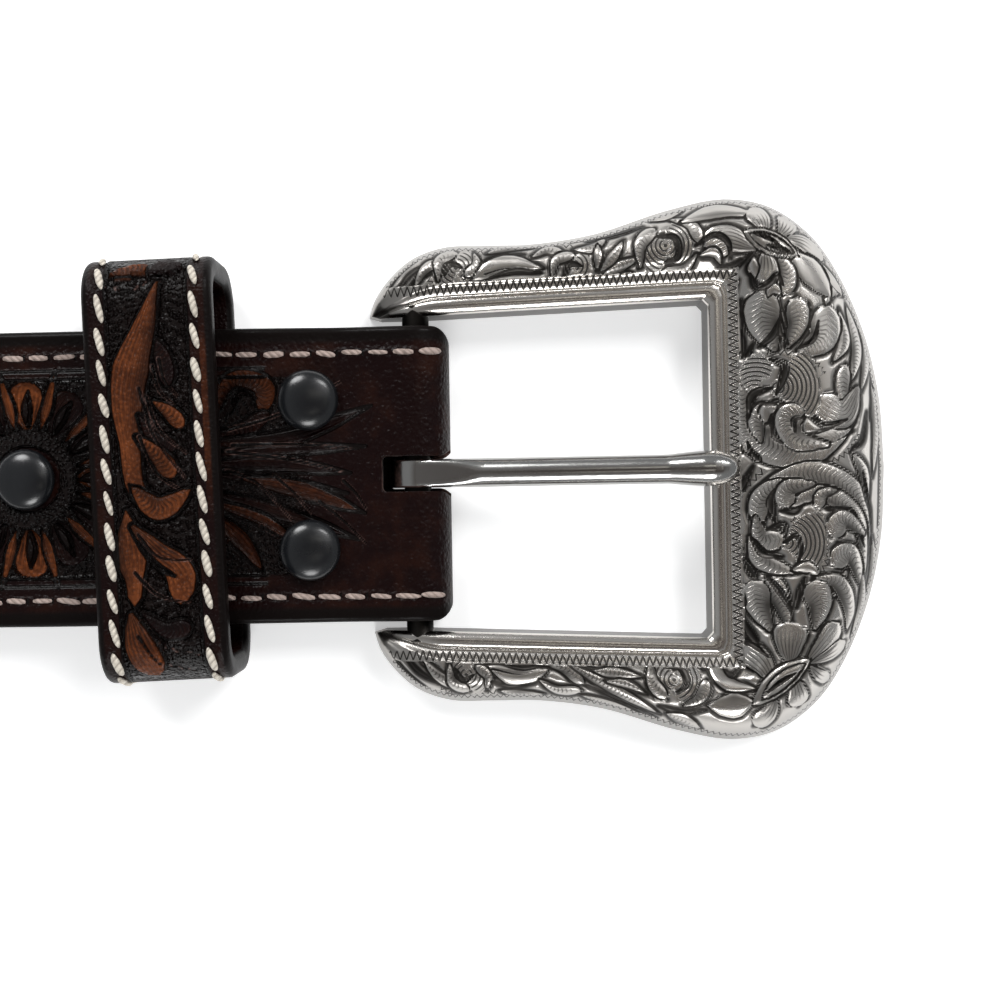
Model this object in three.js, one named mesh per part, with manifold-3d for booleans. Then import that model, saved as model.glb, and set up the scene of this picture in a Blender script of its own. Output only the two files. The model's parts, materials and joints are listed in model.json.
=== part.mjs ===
// Western tooled belt, unbuckled and laid out flat with its face up.
// A leather strap is folded round the bar of an engraved frame buckle and held back on itself by
// three snaps, with a loose stitched keeper round both layers. Units are millimetres, +Z is up,
// the buckle points along +X, and the origin is at the bottom centre of the whole belt.
import * as THREE from "three";
import Module from "manifold-3d";
import { mergeVertices } from "three/addons/utils/BufferGeometryUtils.js";

const wasm = await Module();
wasm.setup();

// Driving dimensions

const gap = 0.3; // clearance between pieces that touch

const strap = {
  width: 38,
  thickness: 3,
  cornerRadius: 1.6, // rounded corners of the fold and of the slot's mouth
  waist: 813, // from the bar to the middle hole
  tipPastHoles: 70,
  tipTaper: 42, // length over which the end narrows
  tipBlunt: 0.36, // width left at the nose, as a share of the strap's
  riseLength: 43, // the strap climbs from the floor over this length
};

const billet = { thickness: 2.2, reach: 62 }; // the end folded back under the strap

const fold = {
  thickness: 2.4, // skived leather round the bar
  blendLength: 11, // over which the layers open and thin towards the bar
  drop: 0.85, // how far the bar lies below the layers in the keeper
};

const holes = { count: 5, spacing: 25.4, length: 7, width: 5 };

const keeper = {
  width: 16,
  thickness: 2.8,
  sidePlay: 4.7, // between the strap's edge and the keeper's wall, each side
  tipRoom: 6.1, // above the strap's face, for the belt's tip
  cornerRadius: 5.5,
  fromBar: 31.6, // middle of the keeper
  slip: 0.9, // how far the loose loop has slid across
  turn: -2, // degrees that it sits askew
};

const snap = {
  capRadius: 3.9,
  capHeight: 2.1,
  rimHeight: 0.6,
  neckRadius: 1.6,
  flangeRadius: 3.5,
  flangeFlat: 2.5,
  flangeHeight: 0.8,
};
const snapPlaces = [
  { name: "upper", fromBar: 13.9, across: 9.6 },
  { name: "lower", fromBar: 13.9, across: -9.6 },
  { name: "rear", fromBar: 49.8, across: 0 },
];

const bar = { radius: 1.75, play: 0.2 };

const frame = {
  reach: 61.9, // bar centre to the outer edge
  crownWidth: 15.55, // window's edge at the bar to the outline's widest place
  windowReach: 38, // bar centre to the window's far wall
  windowFlare: 1.5, // how much wider the window's far end is, on each side
  armClearance: 1.4, // strap edge to arm
  wall: 6.8, // height of the window's wall
  crest: 10.2, // height of the dome
  edge: 0.5, // height of the outline's foot
  castWall: 2.4, // metal left above the hollow back
};

const prong = {
  ringThickness: 1.65,
  ringWidth: 3.6,
  shankRadius: 1.9,
  tipRadius: 2.3,
  overlap: 3.3, // how far the tip lies over the frame
  sideClearance: 0.5, // each side of the ring, in the strap's slot
  endClearance: 0.8, // behind the ring, at the slot's closed end
};

// How finely curves are divided
const facets = { rise: 14, drop: 5, fold: 10, foldArc: 16, round: 8, turned: 32, frameSpan: 3 };

// Sizes that follow from them

const wrapRadius = bar.radius + bar.play; // inside of the fold, and bore of the prong
const foldRadius = wrapRadius + fold.thickness;
const ringRadius = wrapRadius + prong.ringThickness;
const slotHalf = prong.ringWidth / 2 + prong.sideClearance;
const layersZ = keeper.thickness + gap + billet.thickness + gap / 2; // where the two layers meet
const barZ = layersZ - fold.drop;
const holesHalf = ((holes.count - 1) / 2) * holes.spacing; // middle hole to the last one
const tipReach = strap.waist + holesHalf + strap.tipPastHoles;
const barX = (tipReach - frame.reach) / 2;
const windowHalf = strap.width / 2 + frame.armClearance;
const keeperSpan = strap.width + 2 * (keeper.sidePlay + keeper.thickness);
const keeperHeight = layersZ + gap / 2 + strap.thickness + keeper.tipRoom + keeper.thickness;
const keeperLeft = -keeper.fromBar - keeper.width / 2;
const keeperRight = -keeper.fromBar + keeper.width / 2;

const smooth = (t) => {
  const s = THREE.MathUtils.clamp(t, 0, 1);
  return s * s * (3 - 2 * s);
};

// Height of the surface where strap and billet meet. It falls to the floor past the billet's end,
// and dips to the bar.
const keeperMargin = 1;
const riseEnd = keeperLeft - keeperMargin;
const riseStart = -billet.reach - strap.riseLength;
const dropStart = keeperRight + keeperMargin;
const interfaceZ = (x) =>
  -gap / 2 +
  (layersZ + gap / 2) * smooth((x - riseStart) / (riseEnd - riseStart)) -
  fold.drop * smooth((x - dropStart) / -dropStart);
const interfaceTilt = (x) => Math.atan(interfaceZ(x + 0.5) - interfaceZ(x - 0.5));

// How far each layer opens away from that plane as it nears the bar, and how thick it is there.
const opening = (x) =>
  gap / 2 + (wrapRadius - gap / 2) * smooth((x + fold.blendLength) / fold.blendLength);
const thickness = (x, full) =>
  THREE.MathUtils.lerp(full, fold.thickness, smooth((x + fold.blendLength) / fold.blendLength));

// Helpers

const steps = (from, to, count) =>
  Array.from({ length: count + 1 }, (_, i) => from + ((to - from) * i) / count);

const shapeOf = (points) => new THREE.Shape(points.map(([x, y]) => new THREE.Vector2(x, y)));

const solidOf = (geometry) => {
  const bare = geometry.clone();
  bare.deleteAttribute("normal");
  bare.deleteAttribute("uv");
  const merged = mergeVertices(bare, 1e-4);
  return new wasm.Manifold(
    new wasm.Mesh({
      numProp: 3,
      vertProperties: new Float32Array(merged.attributes.position.array),
      triVerts: new Uint32Array(merged.index.array),
    }),
  );
};

const geometryOf = (solid) => {
  const mesh = solid.getMesh();
  return new THREE.BufferGeometry()
    .setAttribute("position", new THREE.BufferAttribute(mesh.vertProperties, 3))
    .setIndex(new THREE.BufferAttribute(mesh.triVerts, 1))
    .toNonIndexed();
};

const extruded = (shape, depth, curveSegments = facets.round) =>
  new THREE.ExtrudeGeometry(shape, { depth, bevelEnabled: false, curveSegments });

// A side profile in X and Z, carried across the belt from one edge to the other.
const acrossBelt = (shape, width) =>
  extruded(shape, width)
    .rotateX(Math.PI / 2)
    .translate(0, width / 2, 0);

// A cross-section in Y and Z, carried along the belt.
const alongBelt = (shape, length) =>
  extruded(shape, length).applyMatrix4(
    new THREE.Matrix4().makeBasis(
      new THREE.Vector3(0, 1, 0),
      new THREE.Vector3(0, 0, 1),
      new THREE.Vector3(1, 0, 0),
    ),
  );

const cylinderY = (radius, length) =>
  new THREE.CylinderGeometry(radius, radius, length, facets.turned);

const leather = (color) => new THREE.MeshStandardMaterial({ color, roughness: 0.55, metalness: 0 });
const metal = (color, roughness) =>
  new THREE.MeshStandardMaterial({ color, roughness, metalness: 1 });

const part = new THREE.Group();
const atBar = new THREE.Group(); // everything below is placed from the bar, at floor height
atBar.position.x = barX;
part.add(atBar);

const addMesh = (name, geometry, material, parent = atBar) => {
  const mesh = new THREE.Mesh(geometry, material);
  mesh.name = name;
  parent.add(mesh);
  return mesh;
};

// Strap

// Side profile: along the face to the fold, round the bar, back along the billet's underside,
// round its end and out again between the layers.
function strapProfile() {
  const run = [
    -tipReach,
    ...steps(riseStart, riseEnd, facets.rise),
    ...steps(dropStart, -fold.blendLength, facets.drop).slice(0, -1),
    ...steps(-fold.blendLength, 0, facets.fold),
  ];
  const billetRun = run.filter((x) => x > -billet.reach);
  const face = run.map((x) => [x, interfaceZ(x) + opening(x) + thickness(x, strap.thickness)]);
  const strapUnder = run.map((x) => [x, interfaceZ(x) + opening(x)]);
  const under = (x) => interfaceZ(x) - opening(x);
  const billetTop = [-billet.reach, ...billetRun].map((x) => [x, under(x)]);
  const billetUnder = [-billet.reach, ...billetRun].map((x) => [
    x,
    under(x) - thickness(x, billet.thickness),
  ]);
  const arc = (radius, from, to) =>
    steps(from, to, facets.foldArc)
      .slice(1, -1)
      .map((a) => [radius * Math.cos(a), barZ + radius * Math.sin(a)]);
  return shapeOf([
    ...face,
    ...arc(foldRadius, Math.PI / 2, -Math.PI / 2),
    ...billetUnder.reverse(),
    ...billetTop,
    ...arc(wrapRadius, -Math.PI / 2, Math.PI / 2),
    ...strapUnder.reverse(),
  ]);
}

// Plan: square fold with rounded corners at the buckle, tapering to a blunt nose at the tip.
function strapOutline() {
  const half = strap.width / 2;
  const corner = strap.cornerRadius;
  const nose = half * strap.tipBlunt;
  const tip = -tipReach;
  const shoulder = tip + strap.tipTaper;
  const middle = (tip + shoulder) / 2;
  const shape = new THREE.Shape();
  shape.moveTo(shoulder, -half);
  shape.lineTo(foldRadius - corner, -half);
  shape.quadraticCurveTo(foldRadius, -half, foldRadius, -half + corner);
  shape.lineTo(foldRadius, half - corner);
  shape.quadraticCurveTo(foldRadius, half, foldRadius - corner, half);
  shape.lineTo(shoulder, half);
  shape.bezierCurveTo(middle, half, tip, nose, tip, 0);
  shape.bezierCurveTo(tip, -nose, middle, -half, shoulder, -half);
  return shape;
}

// The prong's slot: a closed end with round corners, and a mouth whose corners are rounded off.
function slotOutline() {
  const corner = strap.cornerRadius;
  const end = -ringRadius - prong.endClearance;
  const mouth = foldRadius - corner;
  const past = foldRadius + corner;
  const shape = new THREE.Shape();
  shape.moveTo(past, -slotHalf - corner);
  shape.lineTo(foldRadius, -slotHalf - corner);
  shape.quadraticCurveTo(foldRadius, -slotHalf, mouth, -slotHalf);
  shape.lineTo(end + corner, -slotHalf);
  shape.quadraticCurveTo(end, -slotHalf, end, -slotHalf + corner);
  shape.lineTo(end, slotHalf - corner);
  shape.quadraticCurveTo(end, slotHalf, end + corner, slotHalf);
  shape.lineTo(mouth, slotHalf);
  shape.quadraticCurveTo(foldRadius, slotHalf, foldRadius, slotHalf + corner);
  shape.lineTo(past, slotHalf + corner);
  return shape;
}

// A hole with round ends, long along the belt.
function holeOutline(x) {
  const r = holes.width / 2;
  const straight = holes.length / 2 - r;
  const shape = new THREE.Shape();
  shape.moveTo(x - straight, -r);
  shape.lineTo(x + straight, -r);
  shape.absarc(x + straight, 0, r, -Math.PI / 2, Math.PI / 2, false);
  shape.lineTo(x - straight, r);
  shape.absarc(x - straight, 0, r, Math.PI / 2, (3 * Math.PI) / 2, false);
  return shape;
}

// A plan shape, cut or kept through the strap's whole height.
const through = (shape) => {
  const depth = 4 * foldRadius;
  return solidOf(extruded(shape, depth).translate(0, 0, barZ - depth / 2));
};

// Places a piece at a snap, square to the layers there.
const snapMatrix = ({ fromBar, across }) =>
  new THREE.Matrix4()
    .makeTranslation(-fromBar, across, interfaceZ(-fromBar))
    .multiply(new THREE.Matrix4().makeRotationY(-interfaceTilt(-fromBar)));

function strapSolid() {
  let solid = solidOf(acrossBelt(strapProfile(), strap.width))
    .intersect(through(strapOutline()))
    .subtract(through(slotOutline()));
  for (let i = 0; i < holes.count; i += 1) {
    solid = solid.subtract(through(holeOutline(-strap.waist - holesHalf + i * holes.spacing)));
  }
  for (const place of snapPlaces) {
    const drill = cylinderY(snap.neckRadius + gap, 4 * foldRadius)
      .rotateX(Math.PI / 2)
      .applyMatrix4(snapMatrix(place));
    solid = solid.subtract(solidOf(drill));
  }
  return solid;
}

addMesh("strap", geometryOf(strapSolid()), leather(0x2e1410));

// Keeper

function roundedBox(path, halfWidth, bottom, top, radius) {
  path.moveTo(-halfWidth + radius, bottom);
  path.lineTo(halfWidth - radius, bottom);
  path.absarc(halfWidth - radius, bottom + radius, radius, -Math.PI / 2, 0, false);
  path.lineTo(halfWidth, top - radius);
  path.absarc(halfWidth - radius, top - radius, radius, 0, Math.PI / 2, false);
  path.lineTo(-halfWidth + radius, top);
  path.absarc(-halfWidth + radius, top - radius, radius, Math.PI / 2, Math.PI, false);
  path.lineTo(-halfWidth, bottom + radius);
  path.absarc(-halfWidth + radius, bottom + radius, radius, Math.PI, (3 * Math.PI) / 2, false);
  return path;
}

function keeperGeometry() {
  const { thickness: t, cornerRadius: r } = keeper;
  const half = keeperSpan / 2;
  const section = roundedBox(new THREE.Shape(), half, 0, keeperHeight, r);
  section.holes.push(roundedBox(new THREE.Path(), half - t, t, keeperHeight - t, r - t));
  return alongBelt(section, keeper.width).translate(-keeper.width / 2, 0, 0);
}

const keeperMesh = addMesh("keeper", keeperGeometry(), leather(0x3a1a10));
keeperMesh.position.set(-keeper.fromBar, keeper.slip, 0);
keeperMesh.rotation.z = -THREE.MathUtils.degToRad(keeper.turn);

// Snaps

const turned = (points) =>
  new THREE.LatheGeometry(
    points.map(([r, z]) => new THREE.Vector2(r, z)),
    facets.turned,
  ).rotateX(Math.PI / 2);

// The cap's dome: shares of its radius, and of its height above the rim.
const capDome = [
  { out: 0.93, up: -1 },
  { out: 1, up: -0.6 },
  { out: 1, up: 0 },
  { out: 0.95, up: 0.3 },
  { out: 0.82, up: 0.62 },
  { out: 0.6, up: 0.85 },
  { out: 0.33, up: 0.96 },
  { out: 0, up: 1 },
];

// Heights are from the plane where the layers meet.
function capGeometry(seat) {
  const { capRadius, capHeight, rimHeight, neckRadius } = snap;
  const dome = capDome.map(({ out, up }) => [
    out * capRadius,
    seat + rimHeight + up * (up > 0 ? capHeight - rimHeight : rimHeight),
  ]);
  return turned([[0, gap / 2], [neckRadius, gap / 2], [neckRadius, seat], ...dome]);
}

function postGeometry(seat) {
  const { flangeRadius, flangeFlat, flangeHeight, neckRadius } = snap;
  return turned([
    [0, -seat - flangeHeight],
    [flangeFlat, -seat - flangeHeight],
    [flangeRadius, -seat - flangeHeight / 2],
    [flangeRadius, -seat],
    [neckRadius, -seat],
    [neckRadius, -gap / 2],
    [0, -gap / 2],
  ]);
}

for (const place of snapPlaces) {
  const group = new THREE.Group();
  group.applyMatrix4(snapMatrix(place));
  atBar.add(group);
  const clear = opening(-place.fromBar) + gap;
  const above = clear + strap.thickness;
  const below = clear + billet.thickness;
  addMesh(`snap_cap_${place.name}`, capGeometry(above), metal(0x15181c, 0.4), group);
  addMesh(`snap_post_${place.name}`, postGeometry(below), metal(0x15181c, 0.5), group);
}

// Buckle frame

// Rows run from the middle of the far side round to the end of one arm. The window's columns place
// the inner line: along it is a share of the window's reach, across it a share of its half height.
// The outline's are a share of the frame's reach, and a share of the window's half height up to 1
// and of the crown's width from there to 2. The last columns are shares of the crest's and the
// wall's heights and of the hollow's depth.
const stations = [
  { inner: [1, 0], outer: [1, 0], crest: 1, wall: 1, hollow: 1 },
  { inner: [1, 0.3], outer: [0.991, 0.458], crest: 1, wall: 1, hollow: 1 },
  { inner: [1, 0.6], outer: [0.962, 0.864], crest: 0.99, wall: 1, hollow: 1 },
  { inner: [1, 0.84], outer: [0.908, 1.337], crest: 0.98, wall: 1, hollow: 1 },
  { inner: [1, 0.965], outer: [0.848, 1.681], crest: 0.97, wall: 1, hollow: 0.9 },
  { inner: [0.982, 1], outer: [0.762, 1.926], crest: 0.95, wall: 1, hollow: 0.8 },
  { inner: [0.93, 1], outer: [0.665, 2], crest: 0.92, wall: 1, hollow: 0.7 },
  { inner: [0.8, 1], outer: [0.545, 1.915], crest: 0.88, wall: 0.99, hollow: 0.6 },
  { inner: [0.6, 1], outer: [0.385, 1.72], crest: 0.84, wall: 0.98, hollow: 0.4 },
  { inner: [0.42, 1], outer: [0.25, 1.642], crest: 0.82, wall: 0.97, hollow: 0.3 },
  { inner: [0.25, 1], outer: [0.15, 1.637], crest: 0.8, wall: 0.95, hollow: 0 },
  { inner: [0.13, 1], outer: [0.06, 1.626], crest: 0.77, wall: 0.93, hollow: 0 },
  { inner: [0.05, 1], outer: [-0.01, 1.526], crest: 0.72, wall: 0.9, hollow: 0 },
  { inner: [-0.02, 1], outer: [-0.06, 1.353], crest: 0.64, wall: 0.85, hollow: 0 },
  { inner: [-0.08, 1], outer: [-0.09, 1.179], crest: 0.54, wall: 0.72, hollow: 0 },
  { inner: [-0.12, 1], outer: [-0.102, 1.034], crest: 0.4, wall: 0.5, hollow: 0 },
];

// The cross-section from the window to the outline. Places near an edge are in millimetres from
// it, for a section at least fullWidth wide; between them they are shares of the section's width.
const fullWidth = 9;
const fromWindow = [
  { at: 0, rise: 0 },
  { at: 0.5, rise: 0.35 },
  { at: 1.4, rise: 0.5 },
  { at: 3.2, rise: 0.8 },
];
const domeShares = [
  { at: 0.38, lift: 0.8 },
  { at: 0.47, lift: 0.96 },
  { at: 0.56, lift: 1 },
  { at: 0.68, lift: 0.96 },
  { at: 0.8, lift: 0.82 },
  { at: 0.9, lift: 0.58 },
  { at: 0.97, lift: 0.28 },
];
const edgeLift = 0.14; // height of the outline's top, as a share of the crest
const footInset = 0.5;
const lip = { width: 1.8, slope: 1.2 }; // flat rim round the hollow back

const windowHalfAt = (x) =>
  windowHalf + frame.windowFlare * THREE.MathUtils.clamp(x / frame.windowReach, 0, 1);

const outlineY = (share) =>
  windowHalf * Math.min(share, 1) + frame.crownWidth * Math.max(share - 1, 0);

// Rows between the stations: the outline and the heights follow smooth curves, the window
// straight lines.
function stationRows(perSpan) {
  const curveOf = (pick) =>
    new THREE.CatmullRomCurve3(
      stations.map((s) => new THREE.Vector3(...pick(s), 0)),
      false,
      "centripetal",
    );
  const outline = curveOf((s) => [s.outer[0] * frame.reach, outlineY(s.outer[1])]);
  const heights = curveOf((s) => [s.crest * frame.crest, s.wall * frame.wall]);
  const last = stations.length - 1;
  return steps(0, last, last * perSpan).map((at) => {
    const i = Math.min(Math.floor(at), last - 1);
    const blend = (key) => THREE.MathUtils.lerp(key(stations[i]), key(stations[i + 1]), at - i);
    const out = outline.getPoint(at / last);
    const high = heights.getPoint(at / last);
    const inX = blend((s) => s.inner[0]) * frame.windowReach;
    return {
      inner: new THREE.Vector2(inX, blend((s) => s.inner[1]) * windowHalfAt(inX)),
      outer: new THREE.Vector2(out.x, out.y),
      crest: high.x,
      wall: high.y,
      hollow: blend((s) => s.hollow),
    };
  });
}

// One section as [distance from the window, height] pairs, going over the front and back under.
function sectionPoints(row) {
  const width = row.inner.distanceTo(row.outer);
  const fit = Math.min(1, width / fullWidth);
  const base = row.wall + fit * fromWindow[fromWindow.length - 1].rise;
  const depth = row.hollow * (row.crest - frame.castWall);
  const rim = fit * lip.width;
  const slope = fit * lip.slope;
  const foot = fit * footInset;
  const top = [
    ...fromWindow.map(({ at, rise }) => [fit * at, row.wall + fit * rise]),
    ...domeShares.map(({ at, lift }) => [
      at * width,
      at < 0.5 ? THREE.MathUtils.lerp(base, row.crest, lift) : row.crest * lift,
    ]),
    [width, row.crest * edgeLift],
  ];
  const back = [
    [width - foot, 0],
    [width - rim, 0],
    [width - rim - slope, 0.7 * depth],
    [0.6 * width, depth],
    [0.45 * width, 0.93 * depth],
    [rim + slope, 0.6 * depth],
    [rim, 0],
    [foot, 0],
  ];
  return [[0, frame.edge], ...top, [width, frame.edge * fit], ...back];
}

function frameGeometry() {
  const half = stationRows(facets.frameSpan);
  const mirrored = half
    .slice(1)
    .reverse()
    .map((row) => ({
      ...row,
      inner: new THREE.Vector2(row.inner.x, -row.inner.y),
      outer: new THREE.Vector2(row.outer.x, -row.outer.y),
    }));
  const rows = [...mirrored, ...half];
  const sections = rows.map((row) => {
    const along = row.outer.clone().sub(row.inner).normalize();
    return sectionPoints(row).map(([d, z]) => [row.inner.x + along.x * d, row.inner.y + along.y * d, z]);
  });
  const count = sections[0].length;
  const index = [];
  for (let i = 0; i < sections.length - 1; i += 1) {
    for (let j = 0; j < count; j += 1) {
      const [a, b] = [i * count + j, i * count + ((j + 1) % count)];
      index.push(a, b, a + count, b, b + count, a + count);
    }
  }
  const cap = (row, start, flip) => {
    const flat = sectionPoints(row).map(([d, z]) => new THREE.Vector2(d, z));
    for (const [a, b, c] of THREE.ShapeUtils.triangulateShape(flat, [])) {
      index.push(...(flip ? [start + c, start + b, start + a] : [start + a, start + b, start + c]));
    }
  };
  cap(rows[0], 0, false);
  cap(rows[rows.length - 1], (rows.length - 1) * count, true);
  return new THREE.BufferGeometry()
    .setAttribute("position", new THREE.Float32BufferAttribute(sections.flat(2), 3))
    .setIndex(index);
}

function frameSolid() {
  const barLength = 2 * (windowHalf + frame.armClearance);
  const crossBar = cylinderY(bar.radius, barLength).translate(0, 0, barZ);
  return solidOf(frameGeometry()).add(solidOf(crossBar));
}

addMesh("buckle_frame", geometryOf(frameSolid()), metal(0x9a9894, 0.28));

// Prong

// The round shank's end: distances back from its nose, and radii, both as shares of the tip radius.
const prongTip = [
  { back: 1.7, radius: 1 },
  { back: 1.3, radius: 1 },
  { back: 0.7, radius: 0.86 },
  { back: 0.2, radius: 0.55 },
  { back: 0, radius: 0 },
];
const flareLength = 2.5; // from the shank to the full tip radius, as a share of that radius

// It is a flat ring round the bar, drawn out into a round shank that rises to lie on the frame.
function prongSolid() {
  const { shankRadius, tipRadius } = prong;
  const start = barZ + ringRadius - shankRadius;
  const bead = fromWindow[2];
  const rest = frame.wall + bead.rise + gap + tipRadius;
  const climb = Math.atan2(rest - start, frame.windowReach + bead.at);
  const length = (frame.windowReach + prong.overlap) / Math.cos(climb);
  const flareStart = length - (prongTip[0].back + flareLength) * tipRadius;
  const shank = new THREE.LatheGeometry(
    [
      [0, 0],
      [shankRadius, 0],
      [shankRadius, flareStart],
      ...prongTip.map(({ back, radius }) => [radius * tipRadius, length - back * tipRadius]),
    ].map(([radius, along]) => new THREE.Vector2(radius, along)),
    facets.turned,
  )
    .rotateZ(-Math.PI / 2)
    .rotateY(-climb)
    .translate(0, 0, start);
  const ring = cylinderY(ringRadius, prong.ringWidth).translate(0, 0, barZ);
  const bore = cylinderY(wrapRadius, 2 * prong.ringWidth).translate(0, 0, barZ);
  return solidOf(shank).add(solidOf(ring)).subtract(solidOf(bore));
}

addMesh("prong", geometryOf(prongSolid()), metal(0xaaa8a4, 0.2));

export default part;
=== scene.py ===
# Looks of the western tooled belt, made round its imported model.
# Shapes are worked out in millimetres: x runs from the buckle's bar towards the buckle, y across the
# belt and z up from the floor. Meshes are placed in metres, in the model's own frame.

import json
import math

import bmesh
import bpy
import numpy as np
from mathutils import Matrix, Vector


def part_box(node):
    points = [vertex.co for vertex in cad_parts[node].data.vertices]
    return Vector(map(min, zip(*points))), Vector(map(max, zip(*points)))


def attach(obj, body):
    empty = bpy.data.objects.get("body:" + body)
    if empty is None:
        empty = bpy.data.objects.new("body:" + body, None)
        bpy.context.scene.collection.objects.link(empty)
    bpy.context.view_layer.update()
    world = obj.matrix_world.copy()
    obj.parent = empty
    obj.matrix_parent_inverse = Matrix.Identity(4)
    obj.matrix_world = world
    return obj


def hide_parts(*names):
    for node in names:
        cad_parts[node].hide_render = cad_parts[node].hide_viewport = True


bl_info = {
    "name": "Western Tooled Belt",
    "version": (1, 0, 0),
    "blender": (4, 5, 0),
    "location": "3D View > Sidebar > Belt",
    "description": "Models the tooled strap, keeper, engraved buckle, snaps and stitching of a belt",
    "category": "Add Mesh",
}

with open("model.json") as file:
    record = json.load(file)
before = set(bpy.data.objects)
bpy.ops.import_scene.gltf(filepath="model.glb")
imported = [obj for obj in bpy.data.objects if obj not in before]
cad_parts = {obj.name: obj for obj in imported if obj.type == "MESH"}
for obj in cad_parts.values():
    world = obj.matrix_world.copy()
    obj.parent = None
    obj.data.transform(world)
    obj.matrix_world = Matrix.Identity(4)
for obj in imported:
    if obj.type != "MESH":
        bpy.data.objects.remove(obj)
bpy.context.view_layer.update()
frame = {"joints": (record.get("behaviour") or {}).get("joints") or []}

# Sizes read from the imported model, in millimetres

MM = 0.001
BAR_X, _, BAR_Z = (value / MM for value in frame["joints"][0]["pos_m"])


def node_box(name):
    """Lowest and highest corner of a node, in millimetres from the bar."""
    return [np.array(corner) / MM - (BAR_X, 0, 0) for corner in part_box(name)]


TO_WORLD = Matrix.Scale(MM, 4) @ Matrix.Translation((BAR_X, 0, 0))
STRAP_LOW, STRAP_HIGH = node_box("strap")
STRAP_HALF = STRAP_HIGH[1]
FOLD_RADIUS = STRAP_HIGH[0]
FRAME_REACH = node_box("buckle_frame")[1][0]

# Sizes of the layers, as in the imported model

STRAP_THICK = 3.0
BILLET_THICK = 2.2
BILLET_REACH = 62.0
FOLD_THICK = 2.4
BLEND_LENGTH = 11.0
FOLD_DROP = 0.85
LAYER_GAP = 0.3
WRAP_RADIUS = FOLD_RADIUS - FOLD_THICK
RISE_LENGTH = 43.0
SLOT_HALF = 2.3
SLOT_CORNER = 1.6
SLOT_END = -4.4
TIP_TAPER = 42.0
TIP_BLUNT = 0.36
WAIST = 813.0
HOLE_SPACING = 25.4
HOLE_COUNT = 5
HOLE_LENGTH = 7.0
HOLE_WIDTH = 5.0

KEEPER_X = -31.6
KEEPER_WIDTH = 16.0
KEEPER_THICK = 2.8
KEEPER_PLAY = 4.7  # between the strap's edge and the keeper's side
KEEPER_ROOM = 6.1  # over the strap, for the belt's tip
KEEPER_HALF = STRAP_HALF + KEEPER_PLAY + KEEPER_THICK
KEEPER_CORNER = 5.5
KEEPER_SLIP = 0.9
KEEPER_TURN = math.radians(2)
LAYERS_Z = KEEPER_THICK + LAYER_GAP + BILLET_THICK + LAYER_GAP / 2
KEEPER_HEIGHT = LAYERS_Z + LAYER_GAP / 2 + STRAP_THICK + KEEPER_ROOM + KEEPER_THICK

SNAP_PLACES = {"upper": (-13.9, 9.6), "lower": (-13.9, -9.6), "rear": (-49.8, 0.0)}
SEAM = -70.0  # where the strap's two meshes meet
LAST_STITCH = 2.8  # the strap's stitches end before this place on the fold
STITCH_LINE = 15.6  # the strap's rows of stitches, from its middle
KEEPER_LINE = 5.8  # the keeper's rows, from its middle


class BeltSizes(bpy.types.PropertyGroup):
    stitch_length: bpy.props.FloatProperty(
        name="Stitch length", description="Length of one stitch of the strap",
        default=3.4 * MM, unit="LENGTH")
    stitch_pitch: bpy.props.FloatProperty(
        name="Stitch pitch", description="From one stitch of the strap to the next",
        default=3.35 * MM, unit="LENGTH")
    keeper_pitch: bpy.props.FloatProperty(
        name="Keeper pitch", description="From one stitch of the keeper to the next",
        default=3.95 * MM, unit="LENGTH")
    thread_width: bpy.props.FloatProperty(
        name="Thread width", description="Width of the waxed thread",
        default=0.82 * MM, unit="LENGTH")
    tooling_depth: bpy.props.FloatProperty(
        name="Tooling depth", description="Depth of the leather's tooled ground",
        default=0.42 * MM, unit="LENGTH")
    engraving_depth: bpy.props.FloatProperty(
        name="Engraving depth", description="Depth of the buckle's engraved ground",
        default=0.19 * MM, unit="LENGTH")
    camera_height: bpy.props.FloatProperty(
        name="Camera height", description="Height of the camera over the floor",
        default=200 * MM, unit="LENGTH")


def colour(name, description, value):
    return bpy.props.FloatVectorProperty(
        name=name, description=description, default=(*value, 1.0), size=4, subtype="COLOR", min=0, max=1)


class BeltColours(bpy.types.PropertyGroup):
    silver: colour("Silver", "Bright metal of the buckle", (0.74, 0.71, 0.67))
    oxide: colour("Oxide", "Blackened ground and cuts of the engraving", (0.008, 0.0065, 0.0055))
    prong: colour("Prong", "Polished metal of the prong and the window's bead", (0.42, 0.415, 0.405))
    leather: colour("Leather", "Antiqued dark brown", (0.0055, 0.0013, 0.0013))
    russet: colour("Russet", "Raised leather where the antiquing is rubbed off", (0.17, 0.046, 0.0135))
    # Painted highlight along the lips of the finest cuts, as the lamps would light them
    painted_highlight_tint: colour("Painted Highlight Tint", "Pale lips of the finest cuts in the leather", (0.19, 0.11, 0.095))
    burnish: colour("Burnish", "Blackened edges and cuts of the leather", (0.004, 0.0026, 0.0024))
    strap_thread: colour("Strap thread", "Thread of the strap, stained pink", (0.42, 0.325, 0.285))
    keeper_thread: colour("Keeper thread", "Cream thread of the keeper", (0.72, 0.66, 0.56))
    snap: colour("Snap", "Black enamel of the snaps", (0.003, 0.0035, 0.0042))
    floor: colour("Floor", "Pale floor", (0.95, 0.95, 0.95))


def smooth(share):
    """Eases from 0 to 1."""
    s = np.clip(share, 0, 1)
    return s * s * (3 - 2 * s)


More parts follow.
